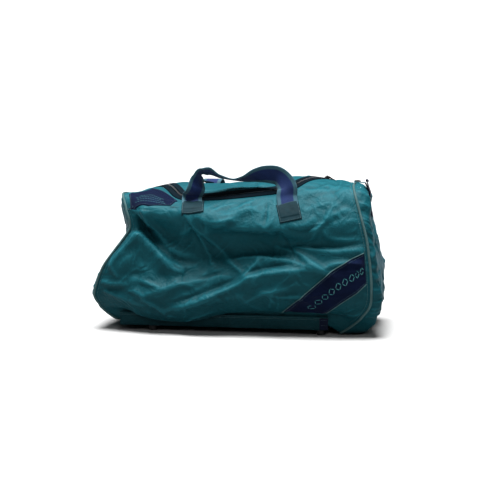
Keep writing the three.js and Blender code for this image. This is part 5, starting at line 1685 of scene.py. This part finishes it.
class BAG_OT_rings(bpy.types.Operator):
    """Make the two plated rings and the webbing tabs that hold them"""
    bl_idname = "bag.rings"
    bl_label = "Rings and tabs"

    def execute(self, context):
        materials = palette()
        for side, seat in RING_SEATS.items():
            end = ENDS[side]
            cheek = end_surface(end, float(RIDGE), END_CHEEK * 0.62).reshape(3)
            centre = np.array([cheek[0] + end["way"] * seat["away"], seat["y"], cheek[2] + seat["rise"]])
            self.make_ring(side, seat, centre, materials)
            self.make_tab(side, end, seat, centre, materials)
        return {"FINISHED"}

    def make_ring(self, side, seat, centre, materials):
        """A round wire bent to a D: straight bar, eased corners and a bow."""
        half = RING_WIDTH / 2 - RING_WIRE
        bow = RING_DEPTH - 2 * RING_WIRE - half * 0.75
        nodes = np.array([
            (0, 0), (0, half * 0.5), (0, half * 0.85), (RING_WIRE, half), (bow, half * 0.92),
            (bow + half * 0.55, half * 0.55), (bow + half * 0.75, 0), (bow + half * 0.55, -half * 0.55),
            (bow, -half * 0.92), (RING_WIRE, -half), (0, -half * 0.85), (0, -half * 0.5),
        ])
        flat = path_through(nodes, 144, closed=True)
        turn = seat["turn"]
        path = np.stack([flat[:, 0] * math.cos(turn), flat[:, 1], -flat[:, 0] * math.sin(turn)], -1) + centre
        _, side_way, up = path_frames(path, path - path.mean(0), closed=True)
        points, faces = sweep(path, side_way, up, ring_profile(RING_WIRE, 20), closed=True)
        make_piece(f"wire_ring_{side}", points, outward(points, faces), materials["steel"], "chromed_steel",
                   (f"d_ring_{side}",), body=f"ring_{side}")

    def make_tab(self, side, end, seat, centre, materials):
        """Folded webbing: up the end panel, once round the ring's bar, and down again beneath."""
        low, high = node_box(f"ring_tab_{side}")
        way = end["way"]
        heights = np.linspace(low[2], high[2] - 12, 40)
        cheek = end_surface(end, *np.meshgrid(np.linspace(RIDGE - 1.4, RIDGE + 1.4, 80),
                                              np.linspace(END_CHEEK * 0.55, 0.8, 90))).reshape(-1, 3)
        near = cheek[np.abs(cheek[:, 1] - seat["y"]) < TAB_WIDTH * 0.5]
        out = np.array([np.max(way * near[np.abs(near[:, 2] - z) < 4][:, 0], initial=-np.inf)
                        for z in heights])
        known = np.isfinite(out)
        out = np.interp(heights, heights[known], out[known])
        layer = TAB_THICKNESS / 2
        keep = heights < centre[2] - 5
        tail = np.stack([way * (out[keep] + 0.9 + 1.5 * layer), heights[keep]], -1)
        radius = RING_WIRE + TAB_SLACK + layer / 2
        turns = np.linspace(-0.9, math.pi + 1.0, 26)
        loop = np.stack([centre[0] + way * radius * np.cos(turns), centre[2] + radius * np.sin(turns)], -1)
        under = tail[::-1] - (way * layer, 0)
        line = path_through(np.concatenate([tail[::5], loop[::4], under[2::5]]), 220)
        path = np.stack(np.broadcast_arrays(line[:, 0], seat["y"], line[:, 1]), -1)
        _, side_way, up_way = path_frames(path, np.broadcast_to(AXIS_Y, path.shape))
        profile = flat_profile(TAB_WIDTH, layer * 0.95)
        points, faces = sweep(path, side_way, up_way, profile)
        make_piece(f"webbing_tab_{side}", points, outward(points, faces), materials["tab"], "navy_webbing",
                   (f"ring_tab_{side}",), uv=strip_map(profile, path))
        left, right = seat["y"] - TAB_WIDTH / 2 + 3, seat["y"] + TAB_WIDTH / 2 - 3
        rows = []
        for share in (0.06, 0.34):
            x, z = tail[int(share * (len(tail) - 1))] + (way * layer * 0.55, 0)
            rows.append(row_of_stitches((x, left, z), (x, right, z), way * AXIS_X, TAB_PITCH, TAB_THREAD))
        stitches(f"tab_stitches_{side}", rows, materials["thread"], "navy_webbing")


# Strength, size and tilt of the two lamps, and the camera's angles, distance and lens
SUNS = (("top_light", 9.6, 0.6, (0.04, -0.07, 0.0)), ("side_light", 0.7, 0.4, (0.9, 0.4, 0.0)))
AZIMUTH = math.radians(9)
ELEVATION = math.radians(7)
DISTANCE = 2.4
TARGET = (22.0, -60.0, 163.0)
LENS = 86.4
SENSOR = 36
FLOOR_REACH = 30.0
FLOOR_COLOUR = (0.35, 0.35, 0.35, 1.0)
SKY_GLOW = 0.06


class BAG_OT_stage(bpy.types.Operator):
    """Make the pale floor, the soft lights and the camera"""
    bl_idname = "bag.stage"
    bl_label = "Stage"

    def execute(self, context):
        scene = context.scene
        scene.view_settings.view_transform = "Standard"
        scene.view_settings.look = "Medium High Contrast"
        corners = np.array([(-1, -1, 0), (1, -1, 0), (1, 1, 0), (-1, 1, 0)]) * FLOOR_REACH
        mesh = bpy.data.meshes.new("floor")
        mesh.from_pydata(corners.tolist(), [], [[0, 1, 2, 3]])
        shade = Shade("floor", {"Base Color": FLOOR_COLOUR, "Roughness": 0.9, "Specular IOR Level": 0.1})
        mesh.materials.append(shade.material)
        floor = bpy.data.objects.new("floor", mesh)
        scene.collection.objects.link(floor)
        self.make_lights(scene)
        self.make_camera(scene)
        return {"FINISHED"}

    def make_lights(self, scene):
        """A dim sky that the camera sees as white, and two broad lamps."""
        world = bpy.data.worlds.new("studio")
        scene.world = world
        world.use_nodes = True
        tree = world.node_tree
        glow = tree.nodes["Background"]
        glow.inputs["Color"].default_value = (1, 1, 1, 1)
        glow.inputs["Strength"].default_value = SKY_GLOW
        backdrop = tree.nodes.new("ShaderNodeBackground")
        backdrop.inputs["Color"].default_value = (1, 1, 1, 1)
        backdrop.inputs["Strength"].default_value = 1.0
        seen = tree.nodes.new("ShaderNodeLightPath")
        either = tree.nodes.new("ShaderNodeMixShader")
        tree.links.new(seen.outputs["Is Camera Ray"], either.inputs[0])
        tree.links.new(glow.outputs[0], either.inputs[1])
        tree.links.new(backdrop.outputs[0], either.inputs[2])
        tree.links.new(either.outputs[0], tree.nodes["World Output"].inputs[0])
        for name, strength, angle, tilt in SUNS:
            light = bpy.data.lights.new(name, "SUN")
            light.energy = strength
            light.angle = angle
            lamp = bpy.data.objects.new(name, light)
            lamp.rotation_euler = tilt
            scene.collection.objects.link(lamp)

    def make_camera(self, scene):
        """The photograph's view: 9 degrees round to the right, 7 degrees up, 2.4 metres away."""
        level = math.cos(ELEVATION)
        away = np.array([math.sin(AZIMUTH) * level, -math.cos(AZIMUTH) * level, math.sin(ELEVATION)])
        camera = bpy.data.cameras.new("camera")
        camera.lens = LENS
        camera.sensor_width = SENSOR
        seen_from = bpy.data.objects.new("camera", camera)
        seen_from.location = (np.array(TARGET) + SHIFT) / 1000 + away * DISTANCE
        seen_from.rotation_euler = (math.pi / 2 - ELEVATION, 0, AZIMUTH)
        scene.collection.objects.link(seen_from)
        scene.camera = seen_from


class BAG_PT_panel(bpy.types.Panel):
    """Lists the pieces of the bag and their sizes and colours"""
    bl_idname = "BAG_PT_panel"
    bl_label = "Sports duffel bag"
    bl_space_type = "VIEW_3D"
    bl_region_type = "UI"
    bl_category = "Bag"

    def draw(self, context):
        for operator in OPERATORS:
            self.layout.operator(operator.bl_idname)
        for group in (context.scene.bag_sizes, context.scene.bag_colours):
            for name in group.bl_rna.properties.keys():
                if name not in ("rna_type", "name"):
                    self.layout.prop(group, name)


OPERATORS = (
    BAG_OT_body, BAG_OT_ends, BAG_OT_piping, BAG_OT_zip, BAG_OT_base, BAG_OT_handles, BAG_OT_trim,
    BAG_OT_rings, BAG_OT_stage,
)
CLASSES = (BagSizes, BagColours, *OPERATORS, BAG_PT_panel)


def register():
    for made in CLASSES:
        bpy.utils.register_class(made)
    bpy.types.Scene.bag_sizes = bpy.props.PointerProperty(type=BagSizes)
    bpy.types.Scene.bag_colours = bpy.props.PointerProperty(type=BagColours)


def unregister():
    del bpy.types.Scene.bag_colours
    del bpy.types.Scene.bag_sizes
    for made in reversed(CLASSES):
        bpy.utils.unregister_class(made)


def main():
    """Makes every piece in order."""
    register()
    for operator in OPERATORS:
        group, name = operator.bl_idname.split(".")
        getattr(getattr(bpy.ops, group), name)()


if __name__ == "__main__":
    main()
